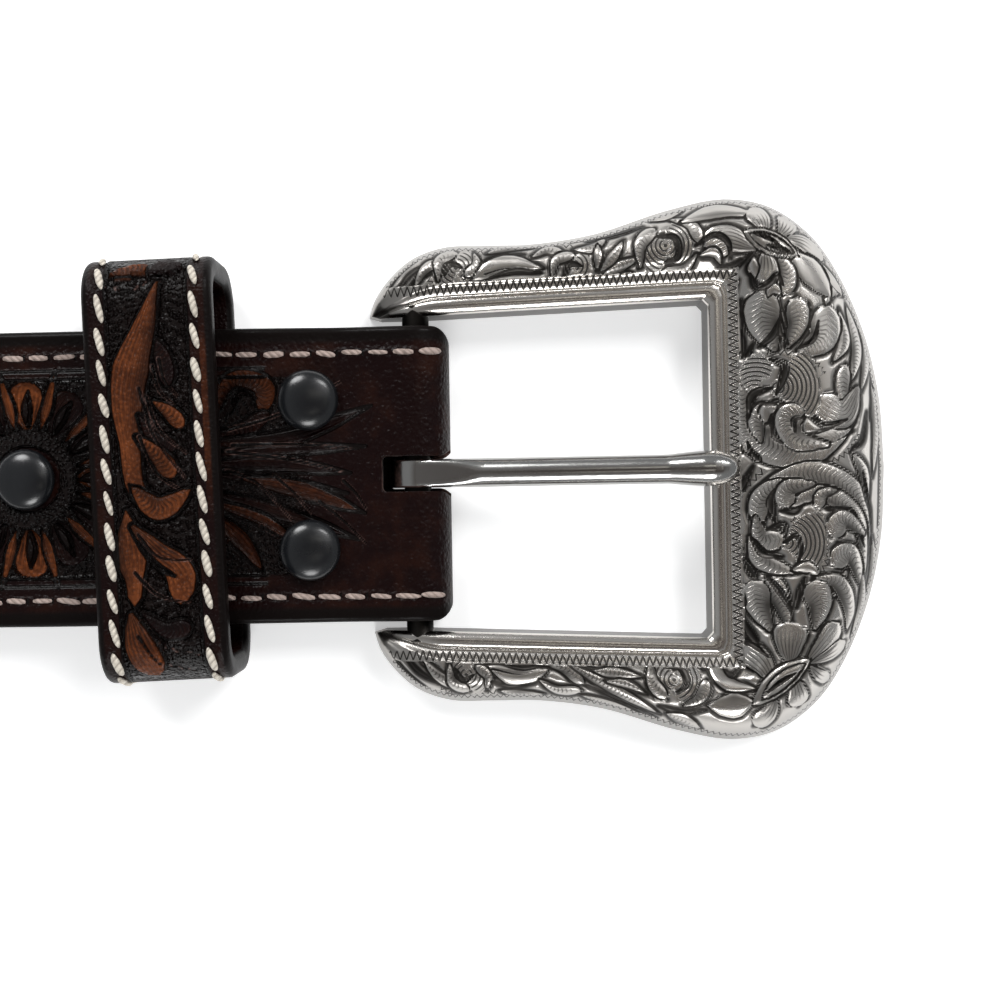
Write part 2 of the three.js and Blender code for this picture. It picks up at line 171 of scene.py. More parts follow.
def through(points, at):
    """Places on a smooth curve through points, where at is 0 at the first, 1 at the second and so on."""
    p = np.asarray(points, float)
    p = np.vstack([2 * p[0] - p[1], p, 2 * p[-1] - p[-2]])
    at = np.asarray(at, float)
    i = np.minimum(at.astype(int), len(p) - 4)
    f = (at - i)[:, None]
    a, b, c, d = (p[i + k] for k in range(4))
    ab, bc, cd = (np.maximum(np.linalg.norm(w - v, axis=1), 1e-6)[:, None] ** 0.5
                  for v, w in ((a, b), (b, c), (c, d)))
    start = ((b - a) / ab - (c - a) / (ab + bc) + (c - b) / bc) * bc
    stop = ((c - b) / bc - (d - b) / (bc + cd) + (d - c) / cd) * bc
    return b + start * f + (3 * (c - b) - 2 * start - stop) * f ** 2 + (2 * (b - c) + start + stop) * f ** 3


def lengths_along(points):
    """Length of a path up to each of its places."""
    return np.concatenate([[0], np.cumsum(np.linalg.norm(np.diff(points, axis=0), axis=1))])


def even(points, count):
    """The same path as that many places at equal distances."""
    lengths = lengths_along(points)
    at = np.linspace(0, lengths[-1], count)
    return np.column_stack([np.interp(at, lengths, points[:, k]) for k in range(points.shape[1])])


# Drawing: engraved and tooled ornament is drawn form by form over the places of a mesh

# Width along a form from root to tip, as (place, share) pairs
PROFILES = {
    "leaf": ((0, 0.1), (0.12, 0.5), (0.35, 0.95), (0.5, 1.0), (0.75, 0.72), (0.92, 0.3), (1, 0.02)),
    "petal": ((0, 0.25), (0.2, 0.6), (0.5, 0.9), (0.72, 1.0), (0.86, 0.88), (0.95, 0.55), (1, 0.05)),
    "lens": ((0, 0.0), (0.1, 0.45), (0.3, 0.88), (0.5, 1.0), (0.7, 0.88), (0.9, 0.45), (1, 0.0)),
    "drop": ((0, 0.05), (0.4, 0.5), (0.7, 1.0), (0.86, 0.9), (0.95, 0.55), (1, 0.05)),
    "blade": ((0, 0.3), (0.3, 0.9), (0.5, 1.0), (0.8, 0.6), (1, 0.0)),
    "sweep": ((0, 0.15), (0.15, 0.6), (0.35, 1.0), (0.5, 0.92), (0.68, 0.6), (0.88, 0.5), (1, 0.08)),
    "cut": ((0, 0.1), (0.15, 0.45), (0.45, 0.8), (0.7, 0.62), (1, 0.0)),
}

# Each kind of form: its profile, how high it stands as a share of the ground's depth, the shading
# lines cut in it and how strongly, then where it is darkened and how dark. The darkening is
# real blackening in the cuts, and painted shade on the side or root of the raised forms
KINDS = {
    "leaf": ("leaf", 0.8, "cross", 0.8, "side", 0.8),
    "petal": ("petal", 0.9, "long", 0.9, "root", 0.6),
    "lobe": ("petal", 0.8, "cross", 0.9, "side", 0.85),
    "rings": ("petal", 0.1, "rings", 1.0, "root", 0.0),
    "crescent": ("lens", 0.8, "cross", 0.9, "side", 0.8),
    "plain": ("leaf", 0.9, "none", 0.0, "side", 0.6),
    "oval": ("lens", 1.4, "none", 0.0, "root", 0.4),
    "blade": ("blade", 0.7, "long", 0.5, "side", 0.85),
    "sweep": ("sweep", 0.9, "long", 0.5, "side", 0.8),
    "cut": ("cut", -0.8, "none", 0.0, "all", 1.0),
    "drop": ("drop", -0.8, "none", 0.0, "all", 1.0),
}

FAR = 3.0  # stands for a place far from any cut
CURVE_STEPS = 22  # places on a form's curve


class Chart:
    """What is drawn at each place: relief, distance to a cut, shading lines, ground and stain."""

    def __init__(self, places, bevel=0.5, crown=0.28):
        count = len(places)
        self.places = places
        self.bevel = bevel
        self.crown = crown
        self.relief = np.zeros(count)
        self.edge = np.full(count, FAR)
        self.phase = np.zeros(count)
        self.shade = np.zeros(count)
        self.ground = np.ones(count)
        self.stain = np.zeros(count)
        self.soot = np.zeros(count)
        self.pale = np.full(count, FAR)
        self.zig = np.zeros(count)
        self.zig_u = np.zeros(count)
        self.zig_v = np.zeros(count)

    def near(self, points, reach):
        """Places within reach of a curve: index, share along it, signed distance, its length."""
        path = through(points, np.linspace(0, len(points) - 1, CURVE_STEPS))
        close = ((self.places > path.min(0) - reach) & (self.places < path.max(0) + reach)).all(1)
        index = np.nonzero(close)[0]
        start, step = path[:-1], np.diff(path, axis=0)
        offset = self.places[index][:, None] - start
        t = np.clip((offset * step).sum(-1) / (step * step).sum(-1), 0, 1)
        away = offset - t[..., None] * step
        far = np.linalg.norm(away, axis=-1)
        k = far.argmin(1)
        row = np.arange(len(index))
        side = np.sign(step[k, 0] * away[row, k, 1] - step[k, 1] * away[row, k, 0])
        length = np.linalg.norm(step, axis=1).sum()
        return index, (k + t[row, k]) / len(step), side * far[row, k], length

    def form(self, kind, width, *points, stain=0.0):
        """A form that covers what lies under it."""
        profile, rise, lines, strength, darkened_part, darkness = KINDS[kind]
        index, along, offset, length = self.near(points, width + 1.5)
        half = width * np.interp(along, *zip(*PROFILES[profile]))
        gap = half - np.abs(offset)
        flat = lines == "rings"
        if not flat:
            outside = index[gap <= 0]
            self.edge[outside] = np.minimum(self.edge[outside], -gap[gap <= 0])
        inside = gap > 0
        index, along, offset, half, gap = (v[inside] for v in (index, along, offset, half, gap))
        across = offset / np.maximum(half, 1e-6)
        self.ground[index] = 0
        self.zig[index] = 0
        self.stain[index] = stain
        self.shade[index] = 0
        self.edge[index] = FAR if flat else gap
        self.pale[index] = FAR
        (x0, y0), (x1, y1), (x2, y2) = points[0], points[1], points[-1]
        hollow = across * (1 if (x1 - x0) * (y2 - y1) > (y1 - y0) * (x2 - x1) else -1)
        # Painted shade on a raised form's hollow side or root; real blackening all through a cut
        if darkened_part == "side":
            soot = smooth(0.8 * hollow + 0.35) * np.clip(1.7 - 1.5 * along, 0, 1)
        elif darkened_part == "root":
            soot = np.clip(1.1 - 1.7 * along, 0, 1)
        else:
            soot = 0.93 + 0.07 * hollow
        self.soot[index] = darkness * soot
        shoulder = smooth(gap / min(self.bevel, 0.6 * width))
        if rise < 0:
            self.relief[index] = rise * shoulder
            return
        crown = self.crown * (1 - across ** 2 + 0.8 * across)
        self.relief[index] = rise * shoulder * (1 - self.crown + crown)
        if lines == "none":
            return
        if lines == "cross":
            self.phase[index] = along * length + 0.45 * np.abs(offset)
            depth = np.clip(1.2 * hollow + 1.0, 0, 1) * np.clip(1.9 - 1.5 * along, 0, 1)
        elif lines == "long":
            self.phase[index] = across * width
            depth = np.clip(1.8 - 2.0 * along, 0, 1)
        else:
            self.phase[index] = np.linalg.norm(self.places[index] - points[0], axis=1)
            depth = np.ones(len(index))
        self.shade[index] = strength * depth * smooth(gap / 0.3)

    def line(self, width, *points):
        """A single cut along a curve, over whatever lies there, with a painted highlight on the lip beside
        it.
        """
        index, along, offset, _ = self.near(points, width + 1)
        kept = along < 1
        index = index[kept]
        away = (np.abs(offset) + 0.9 * width * along)[kept]
        self.edge[index] = np.minimum(self.edge[index], away)
        # Painted highlight: distance from the lit lip beside the cut
        self.pale[index] = np.minimum(self.pale[index], np.abs(away - 0.28))
        trench = away < 2 * width
        self.relief[index[trench]] -= 0.35 * (1 - away[trench] / (2 * width))

    def wriggle(self, *points):
        """A fine zigzag line that follows a curve over the ground."""
        index, along, offset, length = self.near(points, 0.8)
        kept = (np.abs(offset) < 0.7) & (along > 0.01) & (along < 0.99) & (self.ground[index] > 0)
        index = index[kept]
        self.zig[index] = 1
        self.zig_u[index] = (along * length)[kept]
        self.zig_v[index] = offset[kept]

    def sink(self, reach, level, groove=0.35):
        """Sets the level of the ground, lowest in a groove round the forms."""
        open_ground = self.ground > 0
        self.relief[open_ground] = level - groove * (1 - smooth(self.edge[open_ground] / reach))

    def fields(self):
        names = ("edge", "phase", "shade", "ground", "stain", "soot", "pale", "zig", "zig_u", "zig_v")
        return {name: getattr(self, name) for name in names}


def draw(chart, forms):
    """Draws forms on a chart in their order, each over the ones before it."""
    for kind, width, *points in forms:
        if kind == "line":
            chart.line(width, *points)
        elif kind == "wriggle":
            chart.wriggle(*points)
        elif kind.startswith("stained "):
            chart.form(kind.removeprefix("stained "), width, *points, stain=1.0)
        else:
            chart.form(kind, width, *points)


# The buckle's engraving: kind, half width, then places from the bar, from root to tip

UPPER_FLOWER = (
    ("plain", 1.2, (34.4, 31.6), (39.5, 33.2), (44.5, 32.4)),
    ("petal", 1.7, (45.0, 30.0), (44.7, 31.8), (43.6, 33.6)),
    ("petal", 1.6, (47.0, 29.6), (48.2, 31.0), (48.9, 32.6)),
    ("petal", 1.5, (48.0, 29.2), (50.4, 28.8), (53.2, 26.8)),
    ("petal", 0.8, (50.6, 27.2), (53.2, 25.2), (55.6, 22.4)),
    ("plain", 1.9, (48.2, 27.4), (51.3, 24.6), (53.6, 21.6)),
    ("petal", 2.2, (43.6, 28.0), (40.4, 29.2), (37.4, 28.2)),
    ("plain", 0.7, (36.6, 27.2), (38.6, 27.6), (39.7, 26.0)),
    ("cut", 0.45, (36.2, 28.5), (38.8, 29.8), (40.3, 28.8), (40.7, 26.8)),
    ("cut", 0.35, (39.4, 25.7), (41.3, 26.0), (43.2, 27.2)),
    ("lobe", 1.5, (46.6, 27.2), (47.7, 24.6), (47.0, 21.9)),
    ("petal", 1.7, (45.0, 27.6), (45.2, 25.4), (44.9, 23.6)),
    ("plain", 0.8, (43.6, 26.8), (43.5, 25.4), (43.8, 24.2)),
    ("plain", 0.8, (46.9, 22.0), (45.8, 22.8), (45.2, 21.6)),
    ("cut", 0.5, (43.2, 24.8), (43.9, 23.0), (45.4, 23.4), (46.5, 24.5), (47.2, 23.0)),
    ("oval", 1.65, (42.2, 30.2), (45.8, 28.6), (49.4, 26.8)),
    ("oval", 1.05, (43.0, 29.8), (45.8, 28.6), (48.7, 27.2)),
    ("cut", 0.28, (43.6, 29.8), (45.4, 29.2), (46.6, 28.5)),
    ("cut", 0.28, (45.2, 28.3), (46.8, 27.9), (48.2, 27.3)),
)
UPPER_LEAVES = (
    ("leaf", 0.9, (57.4, 9.6), (58.8, 14.6), (57.6, 20.0)),
    ("crescent", 1.0, (55.8, 10.6), (57.2, 15.4), (56.0, 21.2)),
    ("leaf", 0.9, (53.4, 13.2), (55.3, 16.2), (54.6, 20.4)),
    ("lobe", 2.2, (49.2, 14.6), (52.0, 16.2), (53.2, 20.6)),
    ("lobe", 1.6, (47.7, 15.4), (49.0, 18.4), (48.8, 21.6)),
    ("lobe", 2.3, (46.0, 15.2), (44.7, 18.4), (44.6, 22.6)),
    ("cut", 0.5, (44.2, 15.4), (45.9, 16.9), (46.9, 19.4)),
    ("cut", 0.45, (47.7, 15.6), (46.9, 17.2), (46.9, 19.6)),
    ("cut", 0.3, (49.0, 15.0), (50.9, 16.2), (51.6, 18.6)),
    ("drop", 0.5, (41.7, 24.2), (41.1, 21.6), (41.1, 19.2)),
    ("drop", 0.5, (42.1, 21.6), (41.9, 17.6), (42.1, 14.2)),
    ("drop", 0.35, (43.4, 15.8), (43.0, 14.9), (42.6, 14.0)),
    ("plain", 0.9, (52.6, 20.6), (54.0, 22.8), (56.4, 22.2)),
    ("lobe", 1.1, (55.6, 7.0), (54.6, 9.8), (55.2, 13.0)),
    ("leaf", 0.8, (58.9, 6.0), (60.2, 10.4), (59.6, 15.0)),
    ("wriggle", 0, (43.6, 14.2), (47.0, 14.6), (50.8, 13.6), (52.2, 11.6)),
)
UPPER_SCROLL = (
    ("wriggle", 0, (41.9, 13.6), (40.6, 8.0), (42.2, 3.2), (45.5, 1.0), (50.0, 0.2), (54.6, 1.4),
     (57.4, 4.6)),
    ("crescent", 2.4, (41.9, 11.0), (43.0, 4.4), (49.5, 1.9), (56.4, 5.6)),
    ("petal", 2.1, (56.8, 9.8), (54.6, 6.6), (51.2, 8.6)),
    ("cut", 0.45, (50.4, 6.2), (52.4, 5.2), (55.2, 6.0)),
    ("rings", 4.2, (46.4, 10.1), (48.8, 10.4), (51.6, 10.8)),
    ("rings", 1.9, (43.6, 9.4), (43.4, 12.2), (45.6, 13.4)),
    ("cut", 0.6, (45.4, 13.8), (47.2, 12.9), (46.9, 11.0), (46.1, 9.2)),
    ("lobe", 1.4, (44.2, 3.4), (43.8, 6.2), (45.8, 7.8)),
    ("cut", 0.6, (42.8, 6.4), (43.4, 9.4), (45.8, 10.2)),
    ("plain", 0.9, (44.8, 5.6), (45.0, 7.4), (46.8, 7.2)),
    ("cut", 0.42, (44.9, 8.0), (46.4, 8.3), (47.3, 7.0), (46.5, 5.9)),
    ("cut", 0.75, (45.8, 6.0), (46.2, 4.0), (48.6, 2.8)),
    ("lobe", 1.8, (52.4, 2.8), (48.4, 3.4), (47.6, 6.2), (49.6, 7.0)),
    ("cut", 0.4, (48.4, 4.4), (48.3, 6.0), (49.7, 6.4)),
    ("line", 0.2, (56.0, 4.4), (52.6, 3.0), (49.4, 3.8)),
    ("wriggle", 0, (51.0, 12.6), (50.9, 9.4), (49.2, 7.6), (47.4, 6.9)),
)
LOWER_SCROLL = (
    ("wriggle", 0, (44.8, 0.0), (41.4, -4.0), (41.2, -8.6), (43.4, -13.2), (46.8, -15.0)),
    ("crescent", 1.7, (58.2, -12.0), (56.8, -4.2), (50.6, -0.9), (44.8, -3.4), (43.4, -8.0)),
    ("crescent", 1.3, (57.8, -16.0), (56.4, -6.6), (51.4, -3.4), (46.8, -5.4)),
    ("crescent", 1.5, (47.6, -1.4), (44.2, -4.0), (43.6, -8.4)),
    ("cut", 0.6, (47.0, -1.8), (45.3, -4.4), (45.8, -7.2)),
    ("lobe", 1.4, (50.6, -2.2), (47.4, -2.8), (46.9, -5.2)),
    ("line", 0.24, (46.5, -5.6), (48.3, -6.0), (49.9, -4.0), (53.8, -2.9), (57.0, -6.2), (58.4, -11.0)),
    ("lobe", 0.9, (53.6, -3.0), (51.6, -3.6), (51.2, -5.4)),
    ("cut", 0.6, (52.2, -5.4), (55.4, -5.9), (57.4, -10.4)),
    ("lobe", 1.5, (57.4, -8.6), (54.4, -6.8), (52.8, -9.0)),
    ("cut", 0.65, (53.6, -9.8), (56.4, -11.6), (57.2, -16.4)),
    ("lobe", 1.6, (57.4, -15.4), (55.2, -11.2), (52.7, -12.4)),
    ("rings", 3.9, (47.2, -9.7), (49.4, -9.5), (52.2, -9.8)),
    ("lobe", 1.4, (43.4, -6.4), (44.2, -9.2), (46.8, -9.2)),
    ("cut", 0.45, (45.0, -7.9), (46.7, -7.4), (47.1, -9.0)),
    ("leaf", 1.3, (42.6, -8.8), (44.2, -12.0), (48.6, -13.6)),
    ("cut", 0.5, (42.9, -9.0), (44.2, -11.0), (46.6, -11.4)),
    ("cut", 0.32, (47.0, -9.6), (48.3, -8.7), (48.9, -10.6), (48.4, -12.4)),
    ("leaf", 0.8, (59.0, -9.0), (59.4, -14.0), (57.8, -18.6)),
    ("lobe", 1.0, (54.8, -13.4), (53.6, -15.6), (51.6, -15.8)),
    ("plain", 0.8, (47.6, -13.2), (49.8, -12.8), (51.2, -13.8)),
    ("wriggle", 0, (47.4, -6.9), (50.2, -6.5), (52.0, -9.2), (52.1, -12.2), (50.4, -14.6)),
)
MIDDLE = (
    ("drop", 0.45, (41.2, 5.6), (41.0, 3.8), (41.9, 2.0)),
    ("drop", 0.45, (42.6, 3.4), (43.2, 1.9), (44.2, 0.7)),
    ("drop", 0.45, (43.2, 0.2), (42.4, -1.3), (41.5, -2.9)),
    ("leaf", 0.9, (58.0, -5.2), (57.4, -0.6), (55.6, 1.8)),
    ("leaf", 0.8, (59.4, 11.0), (59.9, 5.0), (59.0, -1.5)),
    ("cut", 0.35, (59.9, 11.0), (60.7, 2.0), (60.2, -8.0)),
    ("cut", 0.3, (58.2, 7.0), (57.2, 3.2), (55.8, 2.2)),
    ("cut", 0.25, (57.2, -0.6), (58.2, -5.0), (58.9, -10.0)),
)
LOWER_FLOWER = (
    ("leaf", 1.2, (50.4, -14.2), (53.6, -14.8), (55.5, -18.4), (55.2, -21.4)),
    ("leaf", 0.8, (57.4, -13.6), (57.6, -18.0), (56.2, -22.2)),
    ("lobe", 1.9, (50.6, -20.4), (51.2, -17.4), (50.2, -14.6)),
    ("lobe", 1.4, (47.2, -20.2), (46.2, -16.8), (45.0, -14.0)),
    ("lobe", 1.8, (44.8, -20.6), (43.5, -17.6), (43.2, -14.4)),
    ("cut", 0.5, (44.8, -14.0), (46.3, -16.0), (47.6, -18.6)),
    ("cut", 0.35, (49.3, -14.2), (48.6, -16.0), (48.2, -18.0)),
    ("drop", 0.45, (40.9, -10.8), (42.2, -12.2), (43.3, -14.4)),
    ("drop", 0.5, (41.1, -12.8), (41.3, -15.4), (41.9, -18.0)),
    ("drop", 0.5, (41.2, -17.9), (42.0, -20.2), (43.3, -22.6)),
    ("petal", 2.3, (47.2, -24.8), (47.3, -22.2), (47.6, -19.8)),
    ("petal", 1.5, (49.6, -24.8), (52.0, -22.4), (53.8, -20.0)),
    ("petal", 1.1, (50.2, -25.0), (53.0, -24.0), (55.2, -22.6)),
    ("petal", 1.0, (50.0, -25.6), (51.4, -26.8), (53.2, -27.6)),
    ("petal", 1.6, (47.8, -27.0), (48.4, -29.0), (48.8, -30.8)),
    ("petal", 1.5, (45.4, -29.6), (44.6, -31.6), (43.0, -33.2)),
    ("plain", 1.8, (42.6, -29.8), (40.0, -30.4), (36.8, -30.4)),
    ("petal", 1.8, (45.0, -27.2), (43.6, -24.8), (41.6, -23.2)),
    ("plain", 1.1, (43.0, -28.2), (39.6, -27.6), (38.0, -25.6), (39.8, -24.4)),
    ("cut", 0.4, (41.6, -25.4), (39.9, -26.6), (38.9, -25.4)),
    ("cut", 0.4, (40.2, -22.6), (42.4, -22.4), (44.6, -24.2)),
    ("oval", 1.7, (42.4, -30.4), (46.0, -27.2), (50.0, -24.4)),
    ("oval", 1.05, (43.6, -29.6), (46.2, -27.2), (49.2, -25.0)),
    ("cut", 0.3, (44.4, -28.6), (46.2, -27.2), (48.0, -26.2)),
)
UPPER_ARM = (
    ("wriggle", 0, (2.4, 24.2), (1.6, 27.0), (5.6, 29.0), (9.0, 28.4), (13.4, 28.6), (17.0, 29.2),
     (21.0, 29.0)),
    ("cut", 0.36, (-3.6, 23.6), (-2.0, 26.2), (0.4, 27.9)),
    ("cut", 0.36, (-2.2, 23.4), (-0.6, 25.6), (2.0, 27.3)),
    ("cut", 0.3, (-0.8, 23.4), (0.4, 24.8), (2.2, 25.6)),
    ("lobe", 0.8, (0.2, 24.2), (1.4, 26.2), (3.0, 27.4)),
    ("rings", 2.5, (5.5, 26.3), (6.4, 26.4), (8.0, 26.4)),
    ("rings", 2.4, (5.5, 26.3), (4.6, 26.2), (3.0, 26.0)),
    ("lobe", 0.9, (3.2, 24.8), (3.4, 27.4), (5.6, 28.6)),
    ("lobe", 0.8, (7.8, 28.4), (8.2, 26.6), (6.6, 25.2)),
    ("cut", 0.42, (4.0, 25.4), (4.9, 26.9), (6.3, 26.3)),
    ("plain", 1.45, (7.6, 24.7), (11.4, 26.7), (16.8, 26.0)),
    ("cut", 0.42, (16.4, 25.4), (13.2, 25.7), (9.8, 25.0)),
    ("cut", 0.3, (8.6, 26.8), (11.2, 28.0), (14.4, 28.0)),
    ("leaf", 0.7, (9.4, 28.2), (12.4, 29.2), (16.0, 29.2)),
    ("lobe", 0.8, (15.4, 27.6), (17.6, 28.6), (19.6, 27.4)),
    ("rings", 1.9, (20.6, 26.3), (21.6, 26.4), (22.8, 26.2)),
    ("lobe", 0.8, (17.8, 24.9), (18.4, 27.0), (20.8, 27.8)),
    ("cut", 0.42, (19.4, 24.9), (20.2, 26.5), (21.8, 26.2)),
    ("leaf", 0.7, (20.6, 28.4), (23.2, 28.6), (25.4, 30.4)),
    ("leaf", 0.75, (24.4, 24.6), (27.0, 24.9), (29.4, 24.6)),
    ("leaf", 0.75, (24.2, 25.0), (26.8, 26.2), (29.2, 27.2)),
    ("leaf", 0.75, (24.0, 25.4), (25.8, 27.4), (27.2, 29.6)),
    ("leaf", 0.65, (23.6, 25.6), (23.8, 27.6), (23.8, 29.2)),
    ("cut", 0.45, (20.4, 29.8), (25.2, 31.1), (29.6, 32.6)),
    ("cut", 0.3, (22.4, 29.6), (26.4, 30.4), (29.8, 31.4)),
    ("rings", 3.2, (32.4, 28.6), (33.6, 28.8), (36.0, 28.8)),
    ("rings", 3.0, (32.4, 28.6), (31.2, 28.2), (29.0, 27.6)),
    ("lobe", 1.0, (29.2, 26.0), (29.2, 28.8), (31.2, 31.0)),
    ("lobe", 0.9, (33.2, 32.2), (35.8, 31.2), (36.8, 28.8)),
    ("lobe", 0.8, (36.4, 27.4), (34.8, 25.6), (32.0, 25.4)),
    ("cut", 0.5, (31.4, 29.8), (33.6, 29.6), (34.0, 27.2), (32.4, 26.6)),
    ("leaf", 0.9, (30.8, 32.2), (33.2, 33.2), (35.6, 34.2)),
    ("line", 0.16, (3.2, 29.0), (7.6, 29.6), (12.2, 29.0)),
    ("line", 0.16, (17.6, 29.9), (22.2, 30.5), (27.0, 32.0)),
    ("line", 0.16, (9.2, 25.4), (12.4, 26.2), (16.0, 25.9)),
    ("line", 0.16, (29.9, 32.4), (33.4, 34.2), (37.2, 35.0)),
)
LOWER_ARM = (
    ("wriggle", 0, (2.2, -24.2), (2.6, -27.6), (6.4, -29.0), (10.8, -28.2), (15.4, -28.8), (20.2, -29.6)),
    ("cut", 0.36, (-3.6, -23.6), (-1.8, -26.0), (0.6, -27.8)),
    ("cut", 0.36, (-2.0, -23.4), (-0.2, -25.6), (2.4, -27.2)),
    ("cut", 0.3, (-0.6, -23.4), (0.8, -24.8), (2.4, -25.4)),
    ("lobe", 0.8, (0.6, -24.2), (2.2, -26.0), (4.4, -27.6)),
    ("rings", 2.3, (6.0, -26.0), (7.0, -26.2), (8.6, -26.2)),
    ("rings", 2.2, (6.0, -26.0), (5.0, -26.0), (3.6, -25.8)),
    ("lobe", 0.85, (3.8, -24.6), (4.2, -27.0), (6.4, -28.2)),
    ("lobe", 0.75, (8.6, -28.0), (8.8, -26.2), (7.2, -24.8)),
    ("cut", 0.42, (4.6, -25.2), (5.6, -26.7), (7.0, -26.0)),
    ("plain", 1.4, (8.8, -24.9), (12.8, -26.4), (16.8, -25.4)),
    ("cut", 0.38, (16.0, -24.9), (13.2, -25.2), (10.4, -24.7)),
    ("cut", 0.3, (9.2, -26.9), (11.8, -27.7), (14.6, -27.2)),
    ("leaf", 0.7, (10.2, -28.2), (13.0, -28.8), (16.2, -28.8)),
    ("lobe", 0.9, (16.0, -24.5), (18.8, -25.4), (21.0, -27.4)),
    ("lobe", 0.8, (15.4, -26.8), (17.8, -28.2), (20.8, -28.2)),
    ("leaf", 0.8, (20.4, -24.6), (24.0, -24.6), (28.0, -24.6)),
    ("leaf", 0.75, (21.6, -25.8), (25.2, -26.0), (28.8, -26.6)),
    ("crescent", 0.75, (18.8, -24.6), (24.8, -28.0), (31.0, -31.6)),
    ("crescent", 0.6, (20.4, -28.8), (25.0, -30.4), (30.2, -32.8)),
    ("cut", 0.3, (21.4, -27.6), (26.0, -29.8), (30.6, -32.2)),
    ("leaf", 0.6, (23.6, -27.0), (26.4, -27.4), (29.2, -28.8)),
    ("rings", 3.1, (32.6, -27.0), (33.8, -27.2), (36.2, -27.2)),
    ("rings", 2.9, (32.6, -27.0), (31.4, -27.0), (29.6, -27.0)),
    ("lobe", 0.95, (29.8, -24.6), (29.8, -27.2), (31.6, -29.4)),
    ("lobe", 0.9, (33.8, -30.4), (36.0, -29.2), (36.8, -27.0)),
    ("lobe", 0.8, (36.6, -25.6), (35.0, -24.4), (32.6, -24.4)),
    ("cut", 0.5, (31.6, -25.4), (33.6, -25.6), (34.2, -27.6), (32.8, -28.6)),
    ("cut", 0.5, (30.6, -30.4), (33.6, -31.2), (36.6, -30.8)),
    ("leaf", 0.9, (31.6, -31.4), (34.0, -32.4), (36.4, -33.8)),
    ("line", 0.16, (3.4, -28.8), (7.8, -29.6), (13.0, -29.2)),
    ("line", 0.16, (17.8, -29.6), (22.6, -31.0), (27.6, -33.0)),
    ("line", 0.16, (9.4, -25.3), (12.8, -26.0), (16.0, -25.4)),
)
ENGRAVING = (UPPER_ARM + LOWER_ARM + UPPER_LEAVES + UPPER_FLOWER + UPPER_SCROLL + LOWER_SCROLL + MIDDLE
             + LOWER_FLOWER)

# The strap's tooling beside the buckle, and the keeper's from its own middle, in the same form

STRAP_SPRAY = (
    ("stained lobe", 1.5, (-26.0, 7.6), (-23.4, 12.4), (-19.4, 11.4), (-19.6, 8.0)),
    ("cut", 0.5, (-23.6, 8.0), (-22.4, 10.6), (-20.4, 10.0)),
    ("lobe", 1.2, (-27.0, 5.2), (-22.4, 5.8), (-18.6, 8.2)),
    ("blade", 1.2, (-27.0, 4.2), (-16.6, 4.8), (-5.6, 8.8)),
    ("blade", 0.9, (-27.0, 2.8), (-17.6, 3.2), (-6.4, 3.6)),
    ("blade", 1.1, (-27.0, 1.6), (-18.0, 1.4), (-8.4, 0.2)),
    ("blade", 0.9, (-27.0, 0.4), (-18.0, -0.8), (-8.8, -2.4)),
    ("stained blade", 1.3, (-22.0, -0.4), (-14.6, -2.0), (-6.6, -5.0)),
    ("blade", 1.1, (-27.0, -1.8), (-17.6, -4.8), (-7.4, -8.4)),
    ("stained blade", 0.9, (-27.0, -3.0), (-19.6, -5.8), (-13.4, -10.0)),
    ("stained blade", 1.3, (-27.0, -4.4), (-22.6, -8.2), (-19.6, -12.6)),
    ("line", 0.14, (-23.6, 4.0), (-15.0, 4.0), (-7.3, 3.2)),
    ("line", 0.14, (-24.2, 3.2), (-16.0, 2.0), (-9.2, 0.3)),
    ("line", 0.14, (-24.2, 0.8), (-20.3, -1.0), (-16.0, -5.8)),
    ("line", 0.14, (-18.2, 0.0), (-15.8, -2.2), (-13.4, -5.0)),
    ("line", 0.14, (-12.5, -3.4), (-9.6, -5.8), (-6.4, -9.0)),
    ("line", 0.14, (-9.4, -0.8), (-7.8, -2.4), (-6.4, -4.6)),
    ("line", 0.14, (-24.0, 6.0), (-17.0, 8.0), (-9.4, 12.0)),
    ("line", 0.14, (-20.0, -6.4), (-15.0, -9.4), (-10.4, -12.0)),
)
SPRAY_END = -16.0  # where the matted ground runs out into smooth leather

